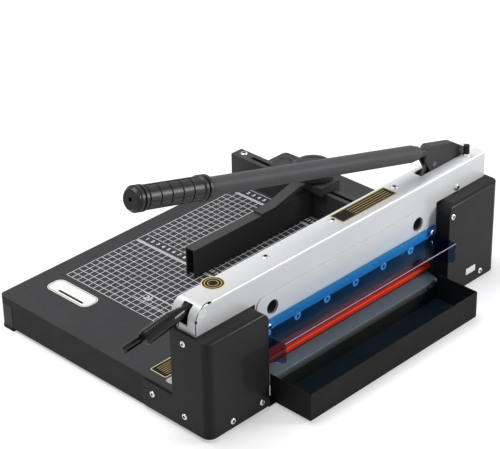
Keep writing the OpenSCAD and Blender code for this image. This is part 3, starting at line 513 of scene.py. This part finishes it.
def piece(name, mesh, body, slot, *nodes):
    """Makes a mesh a piece of the cutter that rides on a body and may stand for CAD nodes."""
    thing = bpy.data.objects.new(name, mesh)
    bpy.context.scene.collection.objects.link(thing)
    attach(thing, body)
    if nodes:
        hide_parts(*nodes)
    return thing


def baked(seed):
    """The evaluated mesh of an object, which is then removed."""
    bpy.context.view_layer.update()
    graph = bpy.context.evaluated_depsgraph_get()
    mesh = bpy.data.meshes.new_from_object(seed.evaluated_get(graph))
    bpy.data.objects.remove(seed)
    return mesh


def seeded(name, mesh):
    """An object that only serves to make a mesh."""
    thing = bpy.data.objects.new(name, mesh)
    bpy.context.scene.collection.objects.link(thing)
    return thing


def grown(tree, mesh, values):
    """Runs a geometry tree over a mesh and returns the plain mesh that comes out."""
    seed = seeded("seed", mesh)
    run = seed.modifiers.new("tree", "NODES")
    run.node_group = tree
    for item in tree.interface.items_tree:
        if item.in_out == "INPUT" and item.name in values:
            run[item.identifier] = values[item.name]
    return baked(seed)


def joined(parts):
    """Several pairs of mesh and finish as one mesh that keeps its finishes."""
    finishes = list(dict.fromkeys(finish for _, finish in parts))
    work = bmesh.new()
    for mesh, finish in parts:
        first = len(work.faces)
        work.from_mesh(mesh)
        work.faces.ensure_lookup_table()
        for face in work.faces[first:]:
            face.material_index = finishes.index(finish)
        bpy.data.meshes.remove(mesh)
    whole = bpy.data.meshes.new("joined")
    work.to_mesh(whole)
    work.free()
    for finish in finishes:
        whole.materials.append(FINISHES[finish])
    return whole


def outward(mesh):
    """Turns every face of a closed mesh outwards."""
    work = bmesh.new()
    work.from_mesh(mesh)
    bmesh.ops.recalc_face_normals(work, faces=work.faces)
    work.to_mesh(mesh)
    work.free()
    return mesh


def from_faces(points, faces):
    mesh = bpy.data.meshes.new("shape")
    mesh.from_pydata([tuple(p) for p in points], [], faces)
    mesh.update()
    return mesh


def softened(node, width):
    """A merged copy of a CAD node with rounded edges, whose flat faces stay flat."""
    work = bmesh.new()
    work.from_mesh(frame["nodes"][node].data)
    bmesh.ops.remove_doubles(work, verts=work.verts, dist=MERGE * MM)
    flat = math.radians(FLAT_ANGLE)
    bmesh.ops.dissolve_limit(work, angle_limit=flat, verts=work.verts, edges=work.edges)
    mesh = bpy.data.meshes.new(node)
    work.to_mesh(mesh)
    work.free()
    mesh.shade_smooth()
    seed = seeded(node, mesh)
    edge = seed.modifiers.new("edges", "BEVEL")
    edge.width = width
    edge.segments = 2
    edge.limit_method = "ANGLE"
    edge.angle_limit = math.radians(EDGE_ANGLE)
    edge.use_clamp_overlap = True
    even = seed.modifiers.new("normals", "WEIGHTED_NORMAL")
    even.mode = "FACE_AREA"
    even.weight = 100
    mesh = baked(seed)
    mesh.materials.clear()
    mesh.materials.append(FINISHES[SLOT_OF[node]])
    return mesh


def dress(node, width, finish=None):
    """Shows a CAD node with rounded edges, in the finish of its slot or another."""
    mesh = softened(node, width)
    if finish:
        mesh.materials[0] = FINISHES[finish]
    return piece(node + "_dressed", mesh, BODY_OF[node], SLOT_OF[node], node)


def lathe(line, steps=48):
    """A closed shape turned about Z from rows of (height, radius, sides) in millimetres."""
    points = []
    faces = []
    for height, radius, sides in line:
        for k in range(steps):
            turn = 2 * math.pi * k / steps
            reach = radius
            if sides:
                part = 2 * math.pi / sides
                reach = radius * math.cos(part / 2) / math.cos(turn % part - part / 2)
            out = Vector((math.cos(turn) * reach, math.sin(turn) * reach, height))
            points.append(out * MM)
    rings = len(line)
    for r in range(rings - 1):
        for k in range(steps):
            n = (k + 1) % steps
            faces.append((r * steps + k, r * steps + n, (r + 1) * steps + n, (r + 1) * steps + k))
    faces.append(tuple(reversed(range(steps))))
    faces.append(tuple(range((rings - 1) * steps, rings * steps)))
    return outward(from_faces(points, faces))


def ribbon(line, wide, deep):
    """A closed strip along a line of (x, y, z) on a face that looks forwards, in millimetres."""
    points = []
    faces = []
    count = len(line)
    for k, (x, y, z) in enumerate(line):
        before = line[max(k - 1, 0)]
        after = line[min(k + 1, count - 1)]
        run = Vector((after[0] - before[0], after[2] - before[2])).normalized()
        for reach in (y, y + deep):
            for hand in (wide / 2, -wide / 2):
                points.append(at(x - run.y * hand, reach, z + run.x * hand))
    for k in range(count - 1):
        a = 4 * k
        b = a + 4
        for i, n in ((0, 1), (1, 3), (3, 2), (2, 0)):
            faces.append((a + i, a + n, b + n, b + i))
    faces.append((0, 1, 3, 2))
    last = 4 * (count - 1)
    faces.append((last, last + 2, last + 3, last + 1))
    return outward(from_faces(points, faces))


def smooth_by_angle(mesh, degrees):
    mesh.shade_smooth()
    mesh.set_sharp_from_angle(angle=math.radians(degrees))
    return mesh


# Sheet metal and castings


class CUTTER_OT_sheets(bpy.types.Operator):
    """Table, covers, beam and tray with rounded sheet edges"""

    bl_idname = "cutter.sheets"
    bl_label = "Sheet metal"

    def execute(self, context):
        edges = context.scene.cutter.edges
        dress("table", edges.table)
        for node in ("left_cover", "right_cover", "beam", "beam_end_plate"):
            dress(node, edges.sheet)
        # The tray takes a darker copy of the cover paint, as painted shade.
        dress("waste_tray", edges.sheet, "tray_shaded_paint")
        dress("waste_chute", edges.thin)
        for node in ("rear_leg_left", "rear_leg_right"):
            dress(node, edges.table)
        return {"FINISHED"}


class CUTTER_OT_lever(bpy.types.Operator):
    """Lever head, tube and ribbed grip"""

    bl_idname = "cutter.lever"
    bl_label = "Lever"

    def execute(self, context):
        edges = context.scene.cutter.edges
        dress("lever_head", edges.casting)
        dress("lever_tube", edges.thin)
        dress("lever_grip", edges.thin)
        return {"FINISHED"}


class CUTTER_OT_bed(bpy.types.Operator):
    """Cutting stick, nose strip, blade carrier, clamp and guard, with a painted highlight along the
    guard's front edge
    """

    bl_idname = "cutter.bed"
    bl_label = "Bed and guard"

    shelf_top = 92.9
    edge_in = 0.5
    edge_tall = 1.3
    edge_radius = 0.3
    edge_thick = 0.05

    def execute(self, context):
        edges = context.scene.cutter.edges
        for node in ("cutting_stick", "bed_nose", "blade_carrier", "clamp_bar", "guard"):
            dress(node, edges.thin)
        # A thin pink strip along the front edge of the guard's shelf is a painted highlight, standing
        # in for the glint of the acrylic edge.
        wide = (GUARD_HIGH.x - GUARD_LOW.x) / MM - 2 * self.edge_in
        extent = (wide, self.edge_tall, self.edge_radius)
        height = self.shelf_top - self.edge_tall / 2
        spot = Vector(((GUARD_LOW.x + GUARD_HIGH.x) / 2, GUARD_LOW.y, height * MM))
        edge = ((0.0, "guard_painted_highlight"), (0.1, "guard_painted_highlight"))
        label("guard_edge", SLOT_OF["guard"], spot, UP, extent, edge, self.edge_thick)
        return {"FINISHED"}


class CUTTER_OT_gauge(bpy.types.Operator):
    """Side fence, back gauge and its knobs"""

    bl_idname = "cutter.gauge"
    bl_label = "Fence and gauge"

    def execute(self, context):
        edges = context.scene.cutter.edges
        for node in ("side_fence", "gauge_bar", "gauge_bracket", "gauge_carriage"):
            dress(node, edges.moulded)
        for node in ("large_knob", "small_knob"):
            dress(node, edges.thin)
        return {"FINISHED"}


class CUTTER_OT_press(bpy.types.Operator):
    """Clamp handle and its release bar"""

    bl_idname = "cutter.press"
    bl_label = "Clamp handle"

    def execute(self, context):
        edges = context.scene.cutter.edges
        for node in ("press_lever", "press_grip", "release_lever"):
            dress(node, edges.moulded)
        return {"FINISHED"}


# Screws

LEFTWARDS = (0.0, math.radians(-90), 0.0)
RIGHTWARDS = (0.0, math.radians(90), 0.0)
FORWARDS = (math.radians(90), 0.0, 0.0)
UPWARDS = (0.0, 0.0, 0.0)


def set_finish(tree, shape, finish, end):
    """Makes instances real, gives them a finish and ends a geometry tree with them."""
    real = put(tree, "GeometryNodeRealizeInstances", {0: shape})
    plugs = {"Geometry": real.outputs[0], "Material": finish}
    done = put(tree, "GeometryNodeSetMaterial", plugs)
    tree.links.new(done.outputs[0], end)


def heads_tree():
    """A screw on every point, each turned a little differently about its axis."""
    tree, give, take = new_tree(
        "screw_heads",
        "GeometryNodeTree",
        [
            ("Geometry", SHAPE, None),
            ("Screw", THING, None),
            ("Turn", VECTOR, (0, 0, 0)),
            ("Seed", WHOLE, 4),
            ("Finish", FINISH, None),
        ],
        [("Geometry", SHAPE)],
    )
    screw = put(tree, "GeometryNodeObjectInfo", {"Object": give["Screw"]})
    aim = put(tree, "FunctionNodeEulerToRotation", {0: give["Turn"]})
    rows = put(
        tree,
        "GeometryNodeInstanceOnPoints",
        {
            "Points": give["Geometry"],
            "Instance": screw.outputs["Geometry"],
            "Rotation": aim.outputs[0],
        },
    )
    chance = put(
        tree, "FunctionNodeRandomValue", {2: 0.0, 3: math.radians(60), 8: give["Seed"]}
    )
    spin = put(tree, "ShaderNodeCombineXYZ", {"Z": chance.outputs[1]})
    about = put(tree, "FunctionNodeEulerToRotation", {0: spin.outputs[0]})
    turned = put(
        tree,
        "GeometryNodeRotateInstances",
        {"Instances": rows.outputs[0], "Rotation": about.outputs[0], "Local Space": True},
    )
    set_finish(tree, turned.outputs[0], give["Finish"], take["Geometry"])
    return tree


class CUTTER_OT_screws(bpy.types.Operator):
    """Crowned screws with six-sided sockets"""

    bl_idname = "cutter.screws"
    bl_label = "Screws"

    side_y_z = ((2.5, 122.0), (4.0, 21.5), (58.0, 27.5))
    front_x_z = ((-226.0, 15.0), (-177.5, 16.5), (170.5, 120.5), (232.0, 15.0))
    top_x = (-122.0, -5.0, 108.0)
    top_y = 9.0
    ear_x = 204.0
    ear_z = 142.0
    guard_x = (-146.0, 152.0)
    guard_out = 4.2
    guard_z = 99.0
    fence_x = 162.0
    fence_y = (33.0, 324.0)
    blade_first = -141.5
    blade_pitch = 52.0
    blade_count = 6
    blade_y = -11.2
    blade_z = 83.5
    smooth_angle = 50

    def row(self, tree, sizes, node, head, shank, rows, metal="screw_chrome", socket_shade="dark_gap"):
        """Screws of one node: head and shank as (width, length), rows as (turn, places)."""
        radius = head[0] / 2
        tall = head[1]
        hollow = radius * sizes.socket
        line = (
            (-shank[1], shank[0] / 2, 0),
            (0.0, shank[0] / 2, 0),
            (0.0, radius, 0),
            (0.35 * tall, radius, 0),
            (0.6 * tall, radius * 0.96, 0),
            (0.85 * tall, radius * (sizes.crown + 1) / 2, 0),
            (tall, radius * sizes.crown, 0),
            (tall, hollow, 6),
            (0.3 * tall, hollow, 6),
        )
        # A dark plug fills the bottom of each six-sided socket: painted shade in the hollow,
        # near-black by default and dark steel on the blade screws.
        floor = ((0.2 * tall, hollow * 0.98, 6), (0.5 * tall, hollow * 0.98, 6))
        screw = seeded("screw", smooth_by_angle(lathe(line), self.smooth_angle))
        dark = seeded("socket", lathe(floor))
        parts = []
        for turn, places in rows:
            for shape, finish in ((screw, metal), (dark, socket_shade)):
                dots = bpy.data.meshes.new("dots")
                dots.from_pydata([tuple(at(*place)) for place in places], [], [])
                values = {
                    "Screw": shape,
                    "Turn": turn,
                    "Seed": sizes.seed,
                    "Finish": FINISHES[finish],
                }
                parts.append((grown(tree, dots, values), finish))
        bpy.data.objects.remove(screw)
        bpy.data.objects.remove(dark)
        name = node + "_turned"
        return piece(name, joined(parts), BODY_OF[node], SLOT_OF[node], node)

    def execute(self, context):
        sizes = context.scene.cutter.screws
        tree = heads_tree()
        left = [(-COVER_SIDE, y, z) for y, z in self.side_y_z]
        right = [(COVER_SIDE, y, z) for y, z in self.side_y_z]
        front = [(x, COVER_FRONT, z) for x, z in self.front_x_z]
        rows = ((LEFTWARDS, left), (RIGHTWARDS, right), (FORWARDS, front))
        self.row(tree, sizes, "cover_screws", (8, 1.6), (4, 3), rows)
        top = [(x, self.top_y, BEAM_TOP) for x in self.top_x]
        self.row(tree, sizes, "beam_top_screws", (10, 1.2), (5, 6.5), ((UPWARDS, top),))
        ear = [(self.ear_x, BEAM_FRONT, self.ear_z)]
        self.row(tree, sizes, "beam_front_screw", (9, 2), (5, 10), ((FORWARDS, ear),))
        guard = [(x, BEAM_FRONT - self.guard_out, self.guard_z) for x in self.guard_x]
        self.row(tree, sizes, "guard_screws", (8, 2), (4, 6.4), ((FORWARDS, guard),))
        fence = [(self.fence_x, y, FENCE_TOP) for y in self.fence_y]
        self.row(tree, sizes, "fence_screws", (10, 3), (5, 44), ((UPWARDS, fence),))
        across = [self.blade_first + i * self.blade_pitch for i in range(self.blade_count)]
        blade = [(x, self.blade_y, self.blade_z) for x in across]
        rows = ((FORWARDS, blade),)
        self.row(tree, sizes, "blade_screws", (11, 0.7), (9, 2.7), rows, "zinc_plate", "pin_steel")
        return {"FINISHED"}


# Trim of the beam


class CUTTER_OT_beam_trim(bpy.types.Operator):
    """Seam with two notches and a bare round sticker on the beam's front"""

    bl_idname = "cutter.beam_trim"
    bl_label = "Beam trim"

    end_radius = 20.0
    edge_radius = 4.0
    seam_in = 1.0
    seam_low = 137.0
    seam_bend = 146.0
    seam_run = 5.0
    seam_wide = 1.3
    seam_deep = 0.6
    seam_proud = 0.07
    bend_steps = 16
    notch_wide = 3.2
    notch_deep = 0.7
    notch_proud = 0.05
    top_notch = (2.0, 7.0)
    top_notch_drop = 1.2
    low_notch = (152.5, 156.5)
    low_notch_in = 0.9
    sticker_x = -248.0
    sticker_z = 162.3
    sticker_size = (13, 13, 6.4)
    sticker_thick = 0.12

    def front(self, z):
        """Where the beam's front stands at a height, round its upper edge too."""
        over = max(z - (BEAM_TOP - self.edge_radius), 0.0)
        back = self.edge_radius - math.sqrt(self.edge_radius**2 - over**2)
        return BEAM_FRONT + back - self.seam_proud

    def execute(self, context):
        middle_x = -BEAM_END + self.end_radius
        middle_z = BEAM_TOP - self.end_radius
        reach = self.end_radius - self.seam_in
        side = -BEAM_END + self.seam_in
        line = [(side, self.seam_low), (side, self.seam_bend)]
        for k in range(self.bend_steps + 1):
            turn = math.pi - math.pi / 2 * k / self.bend_steps
            line.append((middle_x + reach * math.cos(turn), middle_z + reach * math.sin(turn)))
        line.append((middle_x + self.seam_run, middle_z + reach))
        seam = [(x, self.front(z), z) for x, z in line]
        parts = [(ribbon(seam, self.seam_wide, self.seam_deep), "dark_gap")]
        high = middle_z + reach - self.top_notch_drop
        proud = self.front(high) - self.notch_proud
        top = [(middle_x + x, proud, high) for x in self.top_notch]
        low = [(side + self.low_notch_in, self.front(z), z) for z in self.low_notch]
        for notch in (top, low):
            parts.append((ribbon(notch, self.notch_wide, self.notch_deep), "dark_gap"))
        piece("beam_seam", joined(parts), "base", "silver_paint")
        spot = at(self.sticker_x, BEAM_FRONT, self.sticker_z)
        rim = ((0.0, "label_white"), (0.5, "label_white"))
        label("beam_sticker", "silver_paint", spot, UP, self.sticker_size, rim, self.sticker_thick)
        return {"FINISHED"}


# Table print

TICK_SHORT = 0.7
TICK_GROW = 0.15
NUMERAL_BOLD = 0.3


def tick_scale(tree):
    """Makes a bar in a row longer at every fifth place and longest at every tenth."""
    count = put(tree, "GeometryNodeInputIndex").outputs[0]
    reach = TICK_SHORT
    for every in (5.0, 10.0):
        left = put(tree, "ShaderNodeMath", {0: count, 1: every}, operation="MODULO")
        hit = put(tree, "ShaderNodeMath", {0: left.outputs[0], 1: 0.5}, operation="LESS_THAN")
        plugs = {0: hit.outputs[0], 1: TICK_GROW, 2: reach}
        reach = put(tree, "ShaderNodeMath", plugs, operation="MULTIPLY_ADD").outputs[0]
    return put(tree, "ShaderNodeCombineXYZ", {"X": reach, "Y": 1.0, "Z": 1.0}).outputs[0]


def bars_tree(name, ruler=False):
    """Bars in a row: equal ones for the lines of a grid, or the ticks of a ruler."""
    tree, give, take = new_tree(
        name,
        "GeometryNodeTree",
        [
            ("Geometry", SHAPE, None),
            ("Count", WHOLE, 2),
            ("Start", VECTOR, (0, 0, 0)),
            ("Step", VECTOR, (0, 0, 0)),
            ("Bar", VECTOR, (MM, MM, MM)),
            ("Finish", FINISH, None),
        ],
        [("Geometry", SHAPE)],
    )
    row = put(
        tree,
        "GeometryNodeMeshLine",
        {"Count": give["Count"], "Start Location": give["Start"], "Offset": give["Step"]},
    )
    bar = put(tree, "GeometryNodeMeshCube", {"Size": give["Bar"]})
    plugs = {"Points": row.outputs[0], "Instance": bar.outputs[0]}
    bars = put(tree, "GeometryNodeInstanceOnPoints", plugs)
    if ruler:
        tree.links.new(tick_scale(tree), bars.inputs["Scale"])
    set_finish(tree, bars.outputs[0], give["Finish"], take["Geometry"])
    return tree


def empty_mesh():
    return bpy.data.meshes.new("start")


def numeral(number, middle, height):
    """A plain number as a flat mesh that reads from the table's left side."""
    words = bpy.data.curves.new("numeral", "FONT")
    words.body = str(number)
    words.size = height
    words.offset = NUMERAL_BOLD * MM
    words.align_x = "CENTER"
    words.align_y = "CENTER"
    mesh = baked(seeded("numeral", words))
    mesh.transform(Matrix.Translation(middle) @ Matrix.Rotation(math.radians(-90), 4, "Z"))
    return mesh


class CUTTER_OT_table_print(bpy.types.Operator):
    """Printed grid of the table with its two ruler bands"""

    bl_idname = "cutter.table_print"
    bl_label = "Table print"

    bands = (12, 30)
    band_cells = 2
    tick_line = 0.55
    numeral_in = 12.0
    mark_x = (20.0, 23.0, 39.0)
    mark_top = 100.0
    mark_low = 164.0
    mark_film = 1.2
    mark_number = 21
    mark_spot = (31.0, -119.0)
    mark_grow = 1.6

    def execute(self, context):
        sizes = context.scene.cutter.table_print
        ink = FINISHES["grid_ink"]
        rule = bars_tree("ruled_lines")
        ruler = bars_tree("ruler_ticks", ruler=True)
        film = sizes.film
        corner = at(PRINT_X, PRINT_Y, TABLE_TOP) + Vector((0, 0, film / 2))
        pitch = sizes.pitch
        deep = sizes.cells_y * pitch
        made = []

        def bars(tree, count, start, step, bar):
            values = {"Count": count, "Start": start, "Step": step, "Bar": bar, "Finish": ink}
            made.append((grown(tree, empty_mesh(), values), "grid_ink"))

        def frame_line(x0, x1, y0, y1):
            middle = corner + Vector(((x0 + x1) / 2, (y0 + y1) / 2, 0))
            wide = abs(x1 - x0) + sizes.line
            tall = abs(y1 - y0) + sizes.line
            bars(rule, 1, middle, (0, 0, 0), (wide, tall, film * self.mark_film))

        columns = list(range(sizes.cells_x + 1))
        for band in self.bands:
            columns.remove(band + 1)
        for column in columns:
            start = corner + Vector((column * pitch, -deep / 2, 0))
            bars(rule, 1, start, (0, 0, 0), (sizes.line, deep, film))
        spans = ((0, self.bands[0]), (self.bands[0] + self.band_cells, self.bands[1]))
        for first, last in spans:
            middle = (first + last) / 2 * pitch
            wide = (last - first) * pitch
            start = corner + Vector((middle, 0, 0))
            step = (0, -pitch, 0)
            bars(rule, sizes.cells_y + 1, start, step, (wide, sizes.line, film))
        for band in self.bands:
            start = corner + Vector((band * pitch + sizes.tick / 2, 0, 0))
            millimetres = int(deep / MM) + 1
            tick = (sizes.tick, self.tick_line * MM, film)
            bars(ruler, millimetres, start, (0, -MM, 0), tick)
            for end in (0, -deep):
                start = corner + Vector(((band + 1) * pitch, end, 0))
                wide = self.band_cells * pitch
                bars(rule, 1, start, (0, 0, 0), (wide, sizes.line, film))
            for mark in range(1, sizes.cells_y):
                across = band * pitch + self.numeral_in * MM
                middle = corner + Vector((across, -mark * pitch, film / 2))
                made.append((numeral(mark, middle, sizes.numeral), "grid_ink"))
        top = -self.mark_top * MM
        low = -self.mark_low * MM
        for x in self.mark_x:
            frame_line(x * MM, x * MM, top, low)
        frame_line(self.mark_x[0] * MM, self.mark_x[-1] * MM, top, top)
        x, y = self.mark_spot
        middle = corner + Vector((x * MM, y * MM, film / 2))
        made.append((numeral(self.mark_number, middle, sizes.numeral * self.mark_grow), "grid_ink"))
        piece("grid_print", joined(made), "base", "table_paint")
        return {"FINISHED"}


# Labels

LABEL_THICK = 0.25
LABEL_CORNER = 0.3


def round_rect(wide, tall, radius, steps=6):
    """Outline of a rounded rectangle about its middle, in millimetres."""
    line = []
    for k, (sx, sy) in enumerate(((1, 1), (-1, 1), (-1, -1), (1, -1))):
        cx = sx * (wide / 2 - radius)
        cy = sy * (tall / 2 - radius)
        for i in range(steps + 1):
            turn = math.pi / 2 * (k + i / steps)
            line.append((cx + radius * math.cos(turn), cy + radius * math.sin(turn)))
    return line


def label(name, slot, middle, up, extent, layers, thick=LABEL_THICK):
    """A bare plate that runs along the beam.

    Its extent is its width, height and corner radius, in millimetres. Its layers are
    pairs of inset and finish, from its edge inwards.
    """
    wide, tall, radius = extent
    face = ALONG.cross(up)
    rings = []
    points = []
    faces = []
    looks = []
    base = round_rect(wide, tall, radius)
    count = len(base)

    def ring(outline, lift):
        first = len(points)
        for u, v in outline:
            points.append(middle + (ALONG * u + up * v + face * lift) * MM)
        rings.append(first)

    ring(base, 0.0)
    for inset, _ in layers:
        corner = max(radius - inset, LABEL_CORNER)
        ring(round_rect(wide - 2 * inset, tall - 2 * inset, corner), thick)
    for r in range(len(rings) - 1):
        for k in range(count):
            n = (k + 1) % count
            a, b = rings[r], rings[r + 1]
            faces.append((a + k, a + n, b + n, b + k))
            looks.append(max(r - 1, 0))
    faces.append(tuple(rings[-1] + k for k in range(count)))
    looks.append(len(layers) - 1)
    faces.append(tuple(reversed(range(count))))
    looks.append(0)
    mesh = from_faces(points, faces)
    for _, finish in layers:
        mesh.materials.append(FINISHES[finish])
    for polygon, look in zip(mesh.polygons, looks):
        polygon.material_index = look
    return piece(name, mesh, "base", slot)


class CUTTER_OT_labels(bpy.types.Operator):
    """Bare plates where the cutter has its labels, with plain ruled lines on two of them"""

    bl_idname = "cutter.labels"
    bl_label = "Bare labels"

    disc = (
        (0.0, "label_cream"),
        (1.3, "label_black"),
        (3.4, "label_gold"),
        (4.6, "label_black"),
        (7.4, "label_gold"),
        (8.4, "label_black"),
    )
    plate = (
        (0.0, "label_cream"),
        (1.3, "label_black"),
        (2.1, "label_gold"),
        (2.5, "label_black"),
    )
    pill = ((0.0, "label_white"), (1.4, "label_black"), (2.1, "label_white"))
    band = ((0.0, "label_black"), (0.3, "label_black"))
    foil = ((0.0, "label_cream"), (1.1, "label_black"))
    white = ((0.0, "label_white"), (0.6, "label_white"))
    grey = ((0.0, "label_grey"), (0.6, "label_grey"))
    band_lift = 0.2
    band_thick = 0.12
    line_lift = 0.27
    line_thick = 0.1

    def ruled(self, name, slot, first, count, pitch, wide, tall):
        """Plain lines in gold foil on a plate, one behind the other, sizes in millimetres."""
        values = {
            "Count": count,
            "Start": at(*first),
            "Step": BACK * pitch * MM,
            "Bar": Vector((wide, tall, self.line_thick)) * MM,
            "Finish": FINISHES["label_gold"],
        }
        mesh = grown(bars_tree("ruled_lines"), empty_mesh(), values)
        piece(name, joined([(mesh, "label_gold")]), "base", slot)

    def on_beam(self):
        slot = "silver_paint"
        lines = BEAM_TOP + self.line_lift
        label("beam_disc", slot, at(-205, 12, BEAM_TOP), BACK, (28, 28, 13.9), self.disc)
        label("beam_plate", slot, at(48.5, 7, BEAM_TOP), BACK, (101, 24, 2.5), self.plate)
        self.ruled("beam_plate_lines", slot, (58, 0.5, lines), 4, 4.2, 68, 0.9)

    def on_table(self):
        slot = "table_paint"
        lines = TABLE_TOP + self.line_lift
        label("table_badge", slot, at(-199, 273, TABLE_TOP), BACK, (28, 77, 10), self.pill)
        spot = at(-206.2, 268, TABLE_TOP + self.band_lift)
        label("table_badge_band", slot, spot, BACK, (3.4, 46, 1.6), self.band, self.band_thick)
        label("table_plate", slot, at(-228.5, 64.5, TABLE_TOP), BACK, (41, 27, 2.5), self.foil)
        self.ruled("table_plate_lines", slot, (-226.5, 56.5, lines), 6, 3.2, 32, 0.7)
        label("table_sticker", slot, at(-241.5, 41, TABLE_TOP), BACK, (24, 14, 5), self.grey)

    def execute(self, context):
        self.on_beam()
        self.on_table()
        label("cover_tag", "black_paint", at(212, COVER_FRONT, 25), UP, (19, 9, 0.8), self.white)
        return {"FINISHED"}


# Stage


class CUTTER_OT_stage(bpy.types.Operator):
    """Floor, soft light and the camera"""

    bl_idname = "cutter.stage"
    bl_label = "Stage"

    eye = (-1458.08, -1291.16, 1276.86)
    sensor = 36.0
    far = 50.0
    floor_half = 6.0
    floor_shade = 0.6
    floor_glow = 0.45
    middle = (0.03, 0.0, 0.1)
    top_place = (-0.35, 0.45, 2.2)
    top_wide = 1.6
    side_place = (1.4, -1.6, 0.85)
    side_wide = 0.65

    def floor(self):
        half = self.floor_half
        corners = [(-half, -half, 0), (half, -half, 0), (half, half, 0), (-half, half, 0)]
        mesh = from_faces(corners, [(0, 1, 2, 3)])
        ground = seeded("floor", mesh)
        material = bpy.data.materials.new("floor_white")
        material.use_nodes = True
        tree = material.node_tree
        tree.nodes.clear()
        seen = self.seen_rays(tree)
        matte = put(tree, "ShaderNodeBsdfDiffuse", {"Color": opaque([self.floor_shade] * 3)})
        glow = put(tree, "ShaderNodeMath", {0: seen, 1: self.floor_glow}, operation="MULTIPLY")
        light = put(tree, "ShaderNodeEmission", {"Strength": glow.outputs[0]})
        both = put(tree, "ShaderNodeAddShader", {0: matte.outputs[0], 1: light.outputs[0]})
        put(tree, "ShaderNodeOutputMaterial", {"Surface": both.outputs[0]})
        mesh.materials.append(material)

    def seen_rays(self, tree):
        """One for rays that show the background, nought for those that light the cutter."""
        path = put(tree, "ShaderNodeLightPath").outputs
        seen = path["Is Camera Ray"]
        for kind in ("Is Glossy Ray", "Is Transmission Ray"):
            plugs = {0: seen, 1: path[kind]}
            seen = put(tree, "ShaderNodeMath", plugs, operation="MAXIMUM").outputs[0]
        return seen

    def world(self, context, fill):
        sky = bpy.data.worlds.new("studio")
        sky.use_nodes = True
        tree = sky.node_tree
        tree.nodes.clear()
        strength = blend_value(tree, self.seen_rays(tree), fill, 1.0)
        light = put(tree, "ShaderNodeBackground", {"Strength": strength})
        put(tree, "ShaderNodeOutputWorld", {"Surface": light.outputs[0]})
        context.scene.world = sky

    def lamp(self, name, place, power, wide):
        light = bpy.data.lights.new(name, "AREA")
        light.energy = power
        light.shape = "SQUARE"
        light.size = wide
        thing = bpy.data.objects.new(name, light)
        bpy.context.scene.collection.objects.link(thing)
        thing.location = place
        thing.rotation_mode = "QUATERNION"
        aim = Vector(self.middle) - Vector(place)
        thing.rotation_quaternion = aim.to_track_quat("-Z", "Y")

    def camera(self, context, stage):
        lens = bpy.data.cameras.new("camera")
        lens.lens = stage.lens
        lens.sensor_width = self.sensor
        lens.clip_end = self.far
        thing = bpy.data.objects.new("camera", lens)
        context.scene.collection.objects.link(thing)
        a, e = stage.azimuth, stage.elevation
        back = Vector((math.sin(a) * math.cos(e), -math.cos(a) * math.cos(e), math.sin(e)))
        thing.rotation_mode = "QUATERNION"
        turn = Matrix.Rotation(stage.roll, 3, back)
        thing.rotation_quaternion = turn.to_quaternion() @ (-back).to_track_quat("-Z", "Y")
        thing.location = at(*self.eye)
        context.scene.camera = thing

    def execute(self, context):
        stage = context.scene.cutter.stage
        context.scene.view_settings.view_transform = "Standard"
        self.floor()
        self.world(context, stage.fill)
        self.lamp("top_light", self.top_place, stage.top, self.top_wide)
        self.lamp("side_light", self.side_place, stage.side, self.side_wide)
        self.camera(context, stage)
        return {"FINISHED"}


STEPS = (
    CUTTER_OT_finishes,
    CUTTER_OT_sheets,
    CUTTER_OT_lever,
    CUTTER_OT_bed,
    CUTTER_OT_gauge,
    CUTTER_OT_press,
    CUTTER_OT_screws,
    CUTTER_OT_beam_trim,
    CUTTER_OT_table_print,
    CUTTER_OT_labels,
    CUTTER_OT_stage,
)


class CUTTER_PT_panel(bpy.types.Panel):
    """Lists the steps that build the cutter"""

    bl_idname = "CUTTER_PT_panel"
    bl_label = "Paper Cutter"
    bl_space_type = "VIEW_3D"
    bl_region_type = "UI"
    bl_category = "Paper Cutter"

    def draw(self, context):
        for step in STEPS:
            self.layout.operator(step.bl_idname, text=step.bl_label)


CLASSES = (
    CutterColours,
    CutterPrint,
    CutterEdges,
    CutterScrews,
    CutterStage,
    CutterSettings,
    *STEPS,
    CUTTER_PT_panel,
)


def register():
    for kind in CLASSES:
        bpy.utils.register_class(kind)
    bpy.types.Scene.cutter = PointerProperty(type=CutterSettings)


def unregister():
    del bpy.types.Scene.cutter
    for kind in reversed(CLASSES):
        bpy.utils.unregister_class(kind)


def main():
    register()
    for step in STEPS:
        group, name = step.bl_idname.split(".")
        getattr(getattr(bpy.ops, group), name)()


if __name__ == "__main__":
    main()
